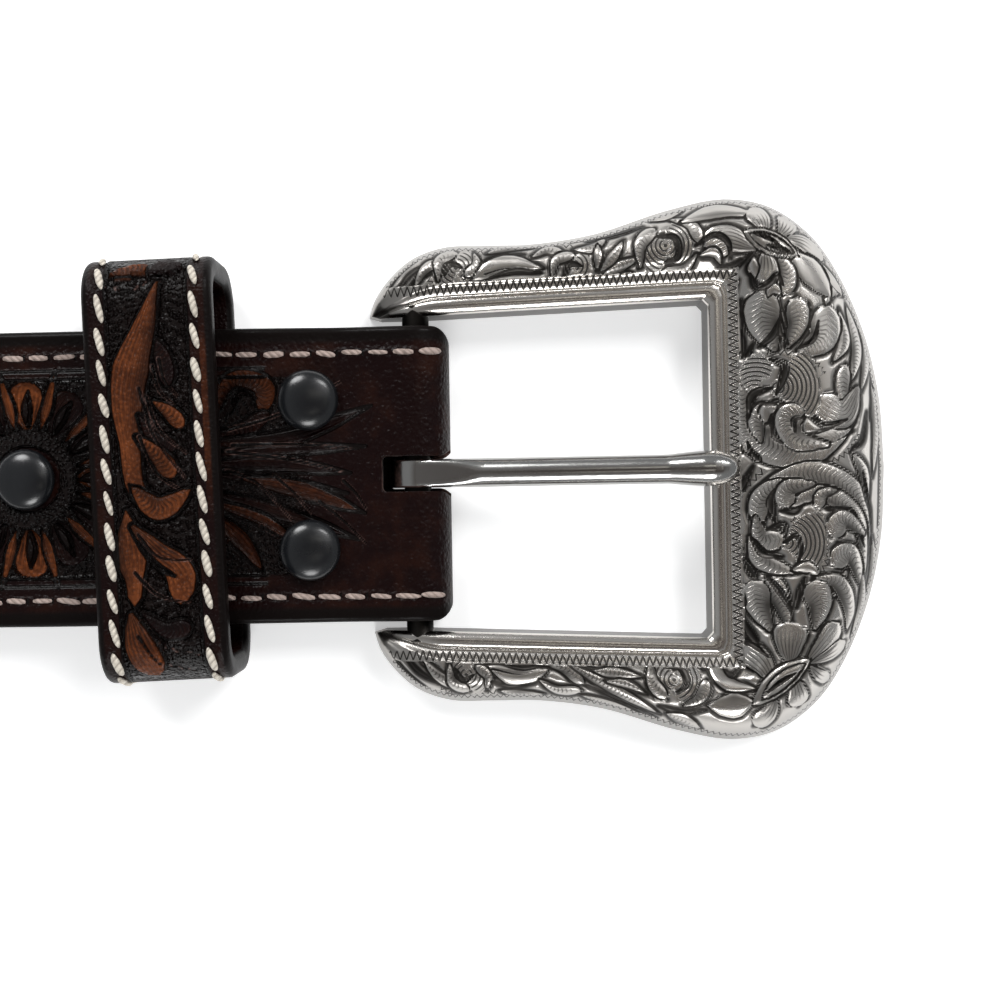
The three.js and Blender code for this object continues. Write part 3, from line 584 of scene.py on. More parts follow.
KEEPER_SCROLLS = (
    ("stained crescent", 1.1, (-4.8, 24.2), (-1.4, 25.0), (1.4, 25.2)),
    ("plain", 1.5, (0.2, 24.2), (2.4, 25.4), (4.9, 25.2)),
    ("line", 0.14, (-4.6, 22.7), (-1.8, 22.2), (0.4, 23.3)),
    ("lobe", 1.3, (-0.6, 17.0), (1.6, 14.0), (2.4, 9.8)),
    ("stained sweep", 2.45, (1.5, 22.8), (-0.3, 17.3), (-2.0, 12.8), (-2.8, 8.6), (-2.7, 3.6),
     (-2.2, -2.4), (0.0, -5.2)),
    ("stained lobe", 1.15, (0.4, 8.2), (2.3, 6.8), (4.0, 4.8)),
    ("lobe", 1.2, (-1.4, 6.6), (0.4, 3.6), (3.2, 2.4)),
    ("stained lobe", 1.4, (-1.8, 4.0), (0.8, 1.4), (2.6, -1.2)),
    ("line", 0.14, (-1.2, 9.9), (0.2, 4.2), (3.9, -1.5)),
    ("line", 0.14, (0.5, 12.6), (1.1, 9.6), (2.9, 7.6)),
    ("line", 0.14, (1.4, 13.4), (1.9, 10.8), (3.4, 8.6)),
    ("line", 0.14, (-0.6, 8.9), (0.8, 4.9), (4.2, 1.6)),
    ("line", 0.14, (-1.5, 4.0), (0.4, -0.6), (3.8, -3.2)),
    ("stained crescent", 1.6, (-3.0, -1.8), (0.4, -4.9), (4.7, -2.6)),
    ("stained sweep", 2.1, (-3.6, -5.0), (-3.3, -9.6), (-3.0, -13.4), (-3.1, -16.8)),
    ("stained petal", 2.0, (-2.8, -7.0), (0.0, -10.2), (2.6, -12.8), (2.5, -16.8)),
    ("cut", 0.45, (2.0, -13.2), (-0.4, -11.6), (-2.2, -8.8)),
    ("line", 0.14, (-2.2, -8.0), (0.2, -10.8), (4.2, -11.4)),
    ("line", 0.14, (-2.8, -12.6), (-0.4, -15.4), (3.8, -16.6)),
    ("stained petal", 2.2, (-3.6, -17.8), (-2.8, -21.4), (-1.0, -26.0)),
    ("lobe", 1.3, (-2.2, -17.6), (0.8, -19.8), (3.8, -19.4)),
    ("line", 0.14, (-2.4, -18.6), (0.4, -22.0), (4.4, -23.2)),
    ("line", 0.14, (-2.8, -20.4), (-0.2, -24.2), (4.0, -26.4)),
)


# Meshes

def closed(rows):
    """Rows with the first column repeated at their end."""
    return np.concatenate([rows, rows[:, :1]], axis=1)


def ring_mesh(name, rows, fields=None, sharp=40):
    """A closed mesh object through rows of places, each row a ring, with values at every place."""
    bm = bmesh.new()
    bmesh.ops.create_grid(bm, x_segments=rows.shape[1], y_segments=len(rows) - 1, size=1)
    places = (closed(rows).reshape(-1, 3) + (BAR_X, 0, 0)) * MM
    layers = {}
    for key, values in (fields or {}).items():
        layers[bm.verts.layers.float.new(key)] = closed(values).ravel().tolist()
    for vert, place in zip(bm.verts, places.tolist()):
        vert.co = place
    for layer, values in layers.items():
        for vert, value in zip(bm.verts, values):
            vert[layer] = value
    bmesh.ops.remove_doubles(bm, verts=bm.verts, dist=1e-7)
    bmesh.ops.holes_fill(bm, edges=[e for e in bm.edges if e.is_boundary], sides=0)
    bmesh.ops.recalc_face_normals(bm, faces=bm.faces)
    return finished(name, bm, sharp)


def finished(name, bm, sharp=40):
    """Turns a bmesh into a smoothly shaded object with sharp edges kept."""
    mesh = bpy.data.meshes.new(name)
    bm.to_mesh(mesh)
    bm.free()
    mesh.shade_smooth()
    mesh.set_sharp_from_angle(angle=math.radians(sharp))
    piece = bpy.data.objects.new(name, mesh)
    bpy.context.collection.objects.link(piece)
    return piece


def normals_of(rows):
    """Unit normals of a sheet of places, out of the face."""
    along = np.gradient(rows, axis=0)
    across = np.gradient(rows, axis=1)
    normal = np.cross(across, along)
    return normal / np.maximum(np.linalg.norm(normal, axis=-1, keepdims=True), 1e-9)


def cut_away(piece, outline, low=-10, high=20):
    """Cuts a plan outline through a piece from one height to another."""
    bm = bmesh.new()
    verts = [bm.verts.new(((x + BAR_X) * MM, y * MM, low * MM)) for x, y in outline]
    face = bm.faces.new(verts)
    top = bmesh.ops.extrude_face_region(bm, geom=[face])["geom"]
    moved = [item for item in top if isinstance(item, bmesh.types.BMVert)]
    bmesh.ops.translate(bm, verts=moved, vec=(0, 0, (high - low) * MM))
    bmesh.ops.recalc_face_normals(bm, faces=bm.faces)
    combine(piece, finished("cutter", bm), "DIFFERENCE")


def combine(piece, other, operation):
    """Joins another solid to a piece, or cuts it out of the piece, and removes it."""
    modifier = piece.modifiers.new(other.name, "BOOLEAN")
    modifier.operation = operation
    modifier.solver = "MANIFOLD"
    modifier.object = other
    depsgraph = bpy.context.evaluated_depsgraph_get()
    mesh = bpy.data.meshes.new_from_object(piece.evaluated_get(depsgraph))
    piece.modifiers.clear()
    piece.data = mesh
    bpy.data.objects.remove(other)


def bar_cylinder(radius, length, segments):
    """A cylinder round the bar's axis."""
    bm = bmesh.new()
    spot = Matrix.Translation((BAR_X * MM, 0, BAR_Z * MM)) @ Matrix.Rotation(math.pi / 2, 4, "X")
    bmesh.ops.create_cone(bm, cap_ends=True, segments=segments, radius1=radius * MM, radius2=radius * MM,
                          depth=length * MM, matrix=spot)
    return bm


def settle(piece, body, material, slot, *nodes):
    """Gives a piece its material and its body, and hides the nodes that it stands for. The slot is not
    used.
    """
    piece.data.materials.clear()
    piece.data.materials.append(material)
    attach(piece, body)
    if nodes:
        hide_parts(*nodes)


# Strap

KEEPER_MARGIN = 1.0  # the layers stay level this far past the keeper's edges
EDGE_ROUND = 0.8  # radius of the leather's burnished corners
FACE_COLUMNS = 176  # across the face of the folded end
RUN_COLUMNS = 58  # across the face of the run
BORDER_LINES = (12.7, 13.8)  # the tooled border's two grooves, from the strap's middle
BORDER_END = -19.0  # where the border stops short of the fold
CHANNEL_HALF = 0.9  # of the channel that the stitches lie in
BEAD_RING = (4.2, 6.4)  # radii of the beaded ring round the rear snap
FADED_STAIN = 0.32  # of the stain that is left between keeper and fold
SLOT_INSET = 0.68  # how much sooner the slot ends in the lower layers
REPEAT = 62.0  # length of one repeat of the run's tooling
REPEAT_START = -112.0
REPEAT_STOP = 260.0  # the last repeat lies at least this far from the tip
PLAIN_TIP = 215.0  # smooth leather from the tip


def interface_z(x):
    """Height of the surface where strap and billet meet."""
    rise_start = -BILLET_REACH - RISE_LENGTH
    rise_end = KEEPER_X - KEEPER_WIDTH / 2 - KEEPER_MARGIN
    drop_start = KEEPER_X + KEEPER_WIDTH / 2 + KEEPER_MARGIN
    low = -LAYER_GAP / 2
    return (low + (LAYERS_Z - low) * smooth((x - rise_start) / (rise_end - rise_start))
            - FOLD_DROP * smooth((x - drop_start) / -drop_start))


def opening(x):
    """How far each layer opens away from that surface as it nears the bar."""
    half = LAYER_GAP / 2
    return half + (WRAP_RADIUS - half) * smooth((x + BLEND_LENGTH) / BLEND_LENGTH)


def thickness(x, full):
    """How thick a layer is, skived to the fold's thickness as it nears the bar."""
    return full + (FOLD_THICK - full) * smooth((x + BLEND_LENGTH) / BLEND_LENGTH)


def face_z(x):
    """Height of the strap's face, and past the bar that of its fold."""
    fold = BAR_Z + np.sqrt(np.maximum(FOLD_RADIUS ** 2 - np.maximum(x, 0) ** 2, 0))
    return np.where(x > 0, fold, interface_z(x) + opening(x) + thickness(x, STRAP_THICK))


def strap_half_width(x):
    """Half the strap's width: round corners at the fold, a tapered tip at the other end."""
    corner = np.clip((x - FOLD_RADIUS + SLOT_CORNER) / SLOT_CORNER, 0, 1)
    half = STRAP_HALF - SLOT_CORNER * (1 - np.sqrt(1 - corner ** 2))
    t = np.linspace(0, 1, 200)
    tip = STRAP_LOW[0]
    reach = tip + TIP_TAPER * ((1 - t) ** 3 + 1.5 * (1 - t) ** 2 * t)
    wide = STRAP_HALF * ((1 - t) ** 3 + 3 * (1 - t) ** 2 * t + 3 * (1 - t) * t ** 2 * TIP_BLUNT)
    tapered = np.interp(x, reach[::-1], wide[::-1])
    return np.where(x < tip + TIP_TAPER, tapered, half)


def ring_columns(half, face_count, back_count, r=EDGE_ROUND):
    """Columns round a leather section: place across, depth under the face in mm and in thicknesses."""
    turn = np.linspace(0, math.pi / 2, 6)[1:]
    flat = half - r
    face = np.linspace(-flat, flat, face_count)
    back = np.linspace(flat, -flat, back_count)
    out, down = r * np.sin(turn), r * (1 - np.cos(turn))
    across = np.concatenate([face, flat + out, flat + out[::-1], back, -flat - out, -flat - out[::-1]])
    depth = np.concatenate([0 * face, down, -down[::-1], 0 * back, -down, down[::-1]])
    share = np.concatenate([0 * face, 0 * down, 1 + 0 * down, 1 + 0 * back, 1 + 0 * down, 0 * down])
    return across, depth, share


def strap_rows(outer, inner, columns):
    """Places of the rings through pairs of places on the outer and inner face, in x and z."""
    across, depth, share = columns
    thick = np.linalg.norm(inner - outer, axis=1)
    down = (inner - outer) / thick[:, None]
    deep = depth[None, :] + share[None, :] * thick[:, None]
    spot = outer[:, None, :] + deep[..., None] * down[:, None, :]
    wide = across[None, :] * (strap_half_width(outer[:, 0]) / STRAP_HALF)[:, None]
    return np.stack([spot[..., 0], wide, spot[..., 1]], axis=-1)


def border_lines(chart):
    """The tooled border: two fine grooves inside each row of stitches."""
    u, y = chart.places.T
    along = u < BORDER_END
    for place in BORDER_LINES:
        away = np.abs(np.abs(y) - place)
        chart.edge[along] = np.minimum(chart.edge[along], away[along])
        chart.relief[along] -= 0.5 * smooth(1 - away[along] / 0.4)


def stitch_holes(chart, pitch, length, rows):
    """A shallow channel under each row of stitches, and a dark prick at each end of a stitch."""
    u, y = chart.places.T
    for row in rows:
        away = np.abs(y - row)
        press_channel(chart, away, 0.4)
        ends = (u - SEAM) % pitch
        prick = np.hypot(np.minimum(np.abs(ends - length), np.abs(ends - pitch)), away)
        chart.edge = np.minimum(chart.edge, np.maximum(prick - 0.2, 0))


def press_channel(chart, away, depth):
    """Lowers the leather where the distance from a row of stitches is small."""
    inside = away < CHANNEL_HALF
    chart.relief[inside] -= depth * smooth(1 - away[inside] / CHANNEL_HALF)


def spoke(middle, angle, *spots):
    """Places out from a middle at an angle, each given as how far out and how far to the side."""
    away = np.array((math.cos(angle), math.sin(angle)))
    side = np.array((-away[1], away[0]))
    return [np.array(middle) + far * away + lean * side for far, lean in spots]


def flower(centre, turn=0.0):
    """A tooled flower round a snap or a bead: petals, with slim leaves between them."""
    forms = []
    for i in range(24):
        angle = math.radians(turn + 15 * i)
        if i % 2:
            forms.append(("stained blade", 0.8, *spoke(centre, angle, (6.8, 0), (10, 0), (14.5, 0))))
            continue
        kind = "stained petal" if i % 3 == 0 else "petal"
        forms.append((kind, 2.35, *spoke(centre, angle, (6.4, 0), (9.4, 0.3), (12.6, 0))))
        forms.append(("cut", 0.8, *spoke(centre, angle, (6.8, 0), (9.0, 0.2), (11.4, 0))))
    return forms


def run_scrolls(start):
    """One repeat of the strap's tooling: a flower, and a scroll of leaves on each side of it."""
    forms = flower((start, 0), 18)
    for side in (1, -1):
        a, b = start + 12, side
        forms += [
            ("stained crescent", 2.0, (a, 9 * b), (a + 9, 11 * b), (a + 19, 5 * b), (a + 23, -5 * b)),
            ("stained lobe", 1.6, (a + 8, 8 * b), (a + 11, 4.5 * b), (a + 7, 1.5 * b)),
            ("lobe", 1.5, (a + 15, 7 * b), (a + 16, 2.5 * b), (a + 12.5, 0.5 * b)),
            ("stained petal", 1.7, (a + 18, 8 * b), (a + 25, 10 * b), (a + 31, 9 * b)),
            ("petal", 1.3, (a + 22, 4 * b), (a + 28, 5.5 * b), (a + 33, 4.5 * b)),
            ("cut", 0.4, (a + 3, 7 * b), (a + 6, 5 * b), (a + 4, 2.5 * b)),
        ]
    return forms


def strap_chart(places, forms, sizes, stop):
    """Draws the strap's tooling on places of its face, with a ground that fades out at stop."""
    chart = Chart(places)
    draw(chart, forms)
    u, y = places.T
    border = np.abs(y) > BORDER_LINES[0]
    chart.ground[border] = 0
    chart.sink(1.4, -0.65)
    fade = 1 - smooth((u - stop) / 3.5)
    chart.relief[chart.ground > 0] *= fade[chart.ground > 0]
    chart.ground *= fade
    chart.relief[border] = 0
    border_lines(chart)
    stitch_holes(chart, sizes.stitch_pitch / MM, sizes.stitch_length / MM, (STITCH_LINE, -STITCH_LINE))
    return chart


def spread_fields(chart, rows_shape, face, plain_edge):
    """The chart's values over whole rings, of which only the face is drawn on."""
    fields = {}
    for name, values in chart.fields().items():
        whole = np.full(rows_shape, FAR if name in ("edge", "pale") else 0.0)
        whole[face] = values.reshape(whole[face].shape)
        fields[name] = whole
    fields["burnish"] = plain_edge
    return fields


def steps(*stretches):
    """Places along stretches given as (from, to, step)."""
    parts = [np.linspace(a, b, max(2, round(abs(b - a) / s) + 1))[:-1] for a, b, s in stretches]
    return np.concatenate([*parts, [stretches[-1][1]]])


def burnish_of(columns, count, half, side, scale=1.0):
    """Distance of each column from the leather's edge, and 0 down its side; the back counts as 9."""
    across, _, share = columns
    under = np.where(np.abs(across) > half - side, 0, 9.0)
    return np.tile(np.where(share > 0.5, under, scale * (half - np.abs(across))), (count, 1))


def strap_piece(name, rows, columns, shown, chart, sizes):
    """Raises the tooling that is drawn on the face of a stretch of the strap, and makes its mesh."""
    relief = (sizes.tooling_depth / MM) * chart.relief.reshape(rows[shown].shape[:2])
    rows[shown] += normals_of(rows[shown]) * relief[..., None]
    burnish = burnish_of(columns, len(rows), STRAP_HALF, 1)
    return ring_mesh(name, rows, spread_fields(chart, rows.shape[:2], shown, burnish))


class BELT_OT_strap(bpy.types.Operator):
    """Model the strap: the folded end with its tooling, and the run to the tip"""
    bl_idname = "belt.strap"
    bl_label = "Strap"

    def execute(self, context):
        sizes, colours = context.scene.belt_sizes, context.scene.belt_colours
        material = leather_material("tooled_leather", colours, grain=1.0)
        self.folded_end(sizes, material)
        self.run(sizes, material)
        return {"FINISHED"}

    def folded_end(self, sizes, material):
        """The strap from the seam round the bar to the billet's end, finest where the ornament shows."""
        columns = ring_columns(STRAP_HALF, FACE_COLUMNS, 30)
        u = steps((SEAM, -57.5, 0.6), (-57.5, -39.6, 0.23), (-39.6, -24.0, 0.5), (-24.0, -6.0, 0.2),
                  (-6.0, 0, 0.5))
        face = np.column_stack([u, face_z(u)])
        under = np.column_stack([u, interface_z(u) + opening(u)])
        turn = np.radians(np.linspace(90, -90, 34))[1:-1]
        round_bar = np.column_stack([np.cos(turn), np.sin(turn)])
        centre = np.array((0, BAR_Z))
        back = steps((0, -12.0, 1.0), (-12.0, -BILLET_REACH, 2.5))
        billet_top = np.column_stack([back, interface_z(back) - opening(back)])
        billet_under = billet_top - np.column_stack([0 * back, thickness(back, BILLET_THICK)])
        outer = np.vstack([face, centre + FOLD_RADIUS * round_bar, billet_under])
        inner = np.vstack([under, centre + WRAP_RADIUS * round_bar, billet_top])
        rows = strap_rows(outer, inner, columns)
        shown = (slice(0, len(u)), slice(0, FACE_COLUMNS))
        places = rows[shown][..., :2].reshape(-1, 2)
        forms = flower(SNAP_PLACES["rear"]) + list(STRAP_SPRAY)
        chart = strap_chart(places, forms, sizes, SPRAY_END)
        chart.stain[places[:, 0] > KEEPER_X] *= FADED_STAIN
        beads_round_snap(chart, SNAP_PLACES["rear"])
        piece = strap_piece("strap_folded_end", rows, columns, shown, chart, sizes)
        cut_away(piece, slot_outline(SLOT_END, SLOT_HALF), BAR_Z)
        cut_away(piece, slot_outline(SLOT_END + SLOT_INSET, RING_WIDTH / 2 + 0.12), high=BAR_Z + 0.01)
        settle(piece, "belt", material, "tooled_leather", "strap")

    def run(self, sizes, material):
        """The strap from the seam to the tip, with its holes."""
        columns = ring_columns(STRAP_HALF, RUN_COLUMNS, 12)
        tip = STRAP_LOW[0]
        u = steps((SEAM, -110.0, 0.6), (-110.0, tip + 10, 0.9), (tip + 10, tip + 0.02, 0.25))
        face = np.column_stack([u, face_z(u)])
        under = np.column_stack([u, interface_z(u) + opening(u)])
        rows = strap_rows(face, under, columns)
        shown = (slice(0, len(u)), slice(0, RUN_COLUMNS))
        places = rows[shown][..., :2].reshape(-1, 2)
        forms = []
        for start in np.arange(REPEAT_START, tip + REPEAT_STOP, -REPEAT):
            forms += run_scrolls(start)
        chart = strap_chart(places, forms, sizes, 0)
        plain = places[:, 0] < tip + PLAIN_TIP
        for values in (chart.ground, chart.shade):
            values[plain] = 0
        chart.relief[plain & (np.abs(places[:, 1]) < BORDER_LINES[0])] = 0
        piece = strap_piece("strap_run", rows, columns, shown, chart, sizes)
        for i in range(HOLE_COUNT):
            place = -WAIST + (i - (HOLE_COUNT - 1) / 2) * HOLE_SPACING
            cut_away(piece, hole_outline(place))
        settle(piece, "belt", material, "tooled_leather")


def beads_round_snap(chart, centre):
    """The beaded ring that frames the rear snap."""
    radius = np.hypot(*(chart.places - centre).T)
    inner, outer = BEAD_RING
    ring = (radius > inner) & (radius < outer)
    chart.ground[ring] = 1
    chart.stain[ring] = 0
    chart.shade[ring] = 0
    chart.edge[ring] = np.minimum(radius[ring] - inner, outer - radius[ring])
    chart.relief[ring] = -0.7
    chart.relief[radius <= inner] = 0
    chart.ground[radius <= inner] = 0


def rounded(corners, radius, count=6):
    """An outline with its corners rounded off."""
    outline = []
    corners = np.asarray(corners, float)
    for i, corner in enumerate(corners):
        before = corners[i - 1] - corner
        after = corners[(i + 1) % len(corners)] - corner
        a = corner + radius * before / np.linalg.norm(before)
        b = corner + radius * after / np.linalg.norm(after)
        for t in np.linspace(0, 1, count):
            outline.append((1 - t) ** 2 * a + 2 * t * (1 - t) * corner + t * t * b)
    return outline


def slot_outline(end, half):
    """The prong's slot from its closed end, open at the fold, with rounded corners there."""
    upper = [(end, half), (FOLD_RADIUS - 1.0, half), (FOLD_RADIUS + 0.3, half + 1.0),
             (FOLD_RADIUS + 2.0, half + 1.0)]
    return rounded([(x, -y) for x, y in upper] + upper[::-1], 0.6)


def hole_outline(x):
    """One of the belt's holes: an oval with straight sides."""
    r = HOLE_WIDTH / 2
    straight = HOLE_LENGTH / 2 - r
    turn = np.linspace(-math.pi / 2, math.pi / 2, 12)
    right = [(x + straight + r * math.cos(a), r * math.sin(a)) for a in turn]
    left = [(x - straight - r * math.cos(a), -r * math.sin(a)) for a in turn]
    return right + left


# Keeper

KEEPER_COLUMNS = 84  # across its face
TOOLED_HALF = (5.0, 29.0)  # of the keeper's tooled panel, across its width and along the loop
PANEL_LINE = 4.9  # the cut along the panel's edges
RUBBED_STRIP = (6.3, 7.3)  # the strip of rubbed leather beside the stitches
KEEPER_STITCH = 3.5  # length of the keeper's stitches
STITCH_SLANT = math.radians(13)  # how far the keeper's stitches lean


def keeper_spot(rows):
    """Moves places of the keeper from its own middle to where it lies."""
    turned = rows.copy()
    cos, sin = math.cos(KEEPER_TURN), math.sin(KEEPER_TURN)
    turned[..., 0] = rows[..., 0] * cos - rows[..., 1] * sin + KEEPER_X
    turned[..., 1] = rows[..., 0] * sin + rows[..., 1] * cos + KEEPER_SLIP
    return turned


def keeper_path(inset):
    """The keeper's loop in y and z, from the middle of its foot round by the left and over the top."""
    half, height = KEEPER_HALF - inset, KEEPER_HEIGHT - inset
    r = KEEPER_CORNER - inset
    arc = np.linspace(0, math.pi / 2, 16)[1:]
    spots = [np.column_stack([np.linspace(0, -half + r, 40), np.full(40, inset)])]
    for centre, start in (((-half + r, inset + r), -90), ((-half + r, height - r), 180),
                          ((half - r, height - r), 90), ((half - r, inset + r), 0)):
        a = math.radians(start) - arc
        spots.append(np.column_stack([centre[0] + r * np.cos(a), centre[1] + r * np.sin(a)]))
        if start == 180:
            across = np.linspace(-half + r, half - r, 222)[1:]
            spots.append(np.column_stack([across, np.full(len(across), height)]))
        elif start in (-90, 90):
            side = -half if start == -90 else half
            ends = (inset + r, height - r) if start == -90 else (height - r, inset + r)
            up = np.linspace(*ends, 20)[1:]
            spots.append(np.column_stack([np.full(len(up), side), up]))
    spots.append(np.column_stack([np.linspace(half - r, 0, 40)[1:], np.full(39, inset)]))
    return np.vstack(spots)


class BELT_OT_keeper(bpy.types.Operator):
    """Model the keeper: a stitched and tooled loop of leather"""
    bl_idname = "belt.keeper"
    bl_label = "Keeper"

    def execute(self, context):
        sizes, colours = context.scene.belt_sizes, context.scene.belt_colours
        outer, inner = (keeper_path(inset)[:-1] for inset in (0, KEEPER_THICK))
        columns = ring_columns(KEEPER_WIDTH / 2, KEEPER_COLUMNS, 20, 0.9)
        across, depth, share = columns
        down = (inner - outer) / KEEPER_THICK
        deep = depth[None, :] + share[None, :] * KEEPER_THICK
        spot = outer[:, None, :] + deep[..., None] * down[:, None, :]
        rows = np.stack([np.tile(across, (len(outer), 1)), spot[..., 0], spot[..., 1]], axis=-1)
        length = np.cumsum(np.linalg.norm(np.diff(outer, axis=0, prepend=outer[:1]), axis=1))
        middle = length[np.abs(outer[:, 0]) + np.abs(outer[:, 1] - KEEPER_HEIGHT) < 0.2].mean()
        shown = (slice(None), slice(0, KEEPER_COLUMNS))
        places = np.column_stack([rows[shown][..., 0].ravel(), np.repeat(length - middle, KEEPER_COLUMNS)])
        chart = self.tooling(places)
        lift = (sizes.tooling_depth / MM) * chart.relief.reshape(len(outer), KEEPER_COLUMNS)
        rows[shown] -= lift[..., None] * np.column_stack([np.zeros(len(outer)), down])[:, None, :]
        burnish = burnish_of(columns, len(outer), KEEPER_WIDTH / 2, 0.8, 2.2)
        fields = spread_fields(chart, rows.shape[:2], shown, burnish)
        rows = np.concatenate([rows, rows[:1]])
        fields = {name: np.concatenate([v, v[:1]]) for name, v in fields.items()}
        piece = ring_mesh("keeper_loop", keeper_spot(rows), fields)
        material = leather_material("keeper_leather", colours, grain=1.3)
        settle(piece, "belt", material, "keeper_leather", "keeper")
        return {"FINISHED"}

    def tooling(self, places):
        """Draws the tooled panel, the stitches' channels and the rubbed strip."""
        chart = Chart(places)
        draw(chart, KEEPER_SCROLLS)
        x, y = places.T
        plain = (np.abs(x) > TOOLED_HALF[0]) | (np.abs(y) > TOOLED_HALF[1])
        chart.ground[plain] = 0
        chart.stain[plain] = 0
        chart.sink(1.2, -0.65)
        chart.relief[plain] = 0
        press_channel(chart, np.abs(np.abs(x) - KEEPER_LINE), 0.5)
        chart.edge = np.minimum(chart.edge, np.maximum(np.abs(np.abs(x) - PANEL_LINE) - 0.03, 0))
        strip = (x > RUBBED_STRIP[0]) & (x < RUBBED_STRIP[1])
        chart.stain[strip] = 0.3 * smooth((y[strip] + 8) / 10) * smooth((20 - y[strip]) / 8)
        return chart


# Stitches

def add_stitches(name, length, width, spots):
    """Stitches at the spots, each a little different: threads whose ends dip into their holes."""
    vary = np.random.default_rng(7)
    one = bmesh.new()
    bmesh.ops.create_uvsphere(one, u_segments=8, v_segments=7, radius=1)
    for vert in one.verts:
        across, up, along = vert.co
        reach = math.copysign(abs(along) ** 0.62, along)
        lean = 1 - 0.25 * abs(reach) ** 3
        x, y = reach * length / 2, across * width / 2 * lean
        vert.co = (x, y, up * width * 0.42 * lean - 0.3 * width * reach ** 6)
    mesh = bpy.data.meshes.new("stitch")
    whole = bmesh.new()
    for spot in spots:
        stitch = one.copy()
        slip = Matrix.Translation((*vary.normal(0, 0.06, 2), 0))
        lean = Matrix.Rotation(vary.normal(0, 0.05), 4, "Z")
        spot = spot @ slip @ lean @ Matrix.Diagonal((vary.normal(1, 0.05), vary.normal(1, 0.08), 1, 1))
        bmesh.ops.transform(stitch, matrix=TO_WORLD @ spot, verts=stitch.verts)
        stitch.to_mesh(mesh)
        stitch.free()
        whole.from_mesh(mesh)
    one.free()
    bpy.data.meshes.remove(mesh)
    return finished(name, whole, 80)


class BELT_OT_stitches(bpy.types.Operator):
    """Model the thread of the strap's and the keeper's stitches"""
    bl_idname = "belt.stitches"
    bl_label = "Stitches"

    def execute(self, context):
        sizes, colours = context.scene.belt_sizes, context.scene.belt_colours
        self.strap_thread(sizes, colours)
        self.keeper_thread(sizes, colours)
        return {"FINISHED"}

    def strap_thread(self, sizes, colours):
        """Two rows, which follow the strap's face and the taper of its tip up to the fold."""
        spots = []
        pitch, length = sizes.stitch_pitch / MM, sizes.stitch_length / MM
        width = sizes.thread_width / MM
        inset = STRAP_HALF - STITCH_LINE
        first = -math.floor((SEAM - STRAP_LOW[0] - 6) / pitch)
        last = round(-SEAM / pitch)
        for i in range(first, last + 1):
            x = SEAM + i * pitch + length / 2
            out = float(strap_half_width(x)) - inset
            if out <= 0 or x > LAST_STITCH:
                continue
            slope = math.atan(float(face_z(x + 0.5) - face_z(x - 0.5)))
            ahead = float(strap_half_width(x + 0.5) - strap_half_width(x - 0.5))
            for side in (1, -1):
                place = Matrix.Translation((x, side * out, float(face_z(x)) + 0.02))
                lean = Matrix.Rotation(math.atan(side * ahead) - 0.05, 4, "Z")
                turn = Matrix.Rotation(-slope, 4, "Y") @ lean
                spots.append(place @ turn)
        piece = add_stitches("strap_stitches", length, width, spots)
        settle(piece, "belt", thread_material("strap_thread", colours.strap_thread, 1), "thread")

    def keeper_thread(self, sizes, colours):
        """Two rows round the loop, but for the middle of its foot."""
        spots = []
        path = keeper_path(0)
        lengths = lengths_along(path)
        count = round(lengths[-1] / (sizes.keeper_pitch / MM))
        turned = Matrix.Translation((KEEPER_X, KEEPER_SLIP, 0)) @ Matrix.Rotation(KEEPER_TURN, 4, "Z")
        for i in range(count):
            at = (i + 0.5) * lengths[-1] / count
            y, z = (np.interp(at, lengths, path[:, k]) for k in range(2))
            y1, z1 = (np.interp(at + 0.2, lengths, path[:, k]) for k in range(2))
            if z < 0.6:
                continue
            tangent = Vector((0, y1 - y, z1 - z)).normalized()
            outward = Vector((1, 0, 0)).cross(tangent)
            if outward.dot(Vector((0, y, z - KEEPER_HEIGHT / 2))) <= 0:
                outward.negate()
            across = outward.cross(tangent)
            for side in (1, -1):
                centre = Vector((side * KEEPER_LINE, y, z)) + 0.02 * outward
                axes = Matrix((tangent, across, outward)).transposed().to_4x4()
                place = turned @ Matrix.Translation(centre)
                turn = axes @ Matrix.Rotation(STITCH_SLANT, 4, "Z")
                spots.append(place @ turn)
        piece = add_stitches("keeper_stitches", KEEPER_STITCH, 1.15 * sizes.thread_width / MM, spots)
        settle(piece, "belt", thread_material("keeper_thread", colours.keeper_thread, -1), "thread")


# Snaps

# Radius and height over the leather, from the middle of the head to the end of the neck
CAP_PROFILE = ((0, 2.1), (0.9, 2.06), (1.9, 1.93), (2.7, 1.7), (3.3, 1.38), (3.7, 1.0), (3.88, 0.65),
               (3.9, 0.35), (3.8, 0.12), (3.5, 0.04), (1.6, 0.04), (1.6, -1.5), (0, -1.5))
POST_PROFILE = ((0, -0.62), (1.2, -0.66), (2.2, -0.8), (2.9, -0.66), (3.3, -0.44), (3.48, -0.2),
                (3.4, -0.03), (1.6, -0.03), (1.6, 1.0), (0, 1.0))


def turned_piece(name, profile, matrix, smooth_to):
    """A piece turned about its own upright axis, from pairs of which the first few lie on a curve."""
    bm = bmesh.new()
    curve = through(profile[:smooth_to], np.linspace(0, smooth_to - 1, 4 * smooth_to - 3))
    spots = [(max(r, 0), z) for r, z in curve] + list(profile[smooth_to:])
    verts = [bm.verts.new((r, 0, z)) for r, z in spots]
    edges = [bm.edges.new(pair) for pair in zip(verts, verts[1:])]
    bmesh.ops.spin(bm, geom=verts + edges, axis=(0, 0, 1), cent=(0, 0, 0), angle=2 * math.pi, steps=64,
                   use_merge=True)
    bmesh.ops.remove_doubles(bm, verts=bm.verts, dist=1e-4)
    bmesh.ops.recalc_face_normals(bm, faces=bm.faces)
    bmesh.ops.transform(bm, matrix=matrix, verts=bm.verts)
    return finished(name, bm)


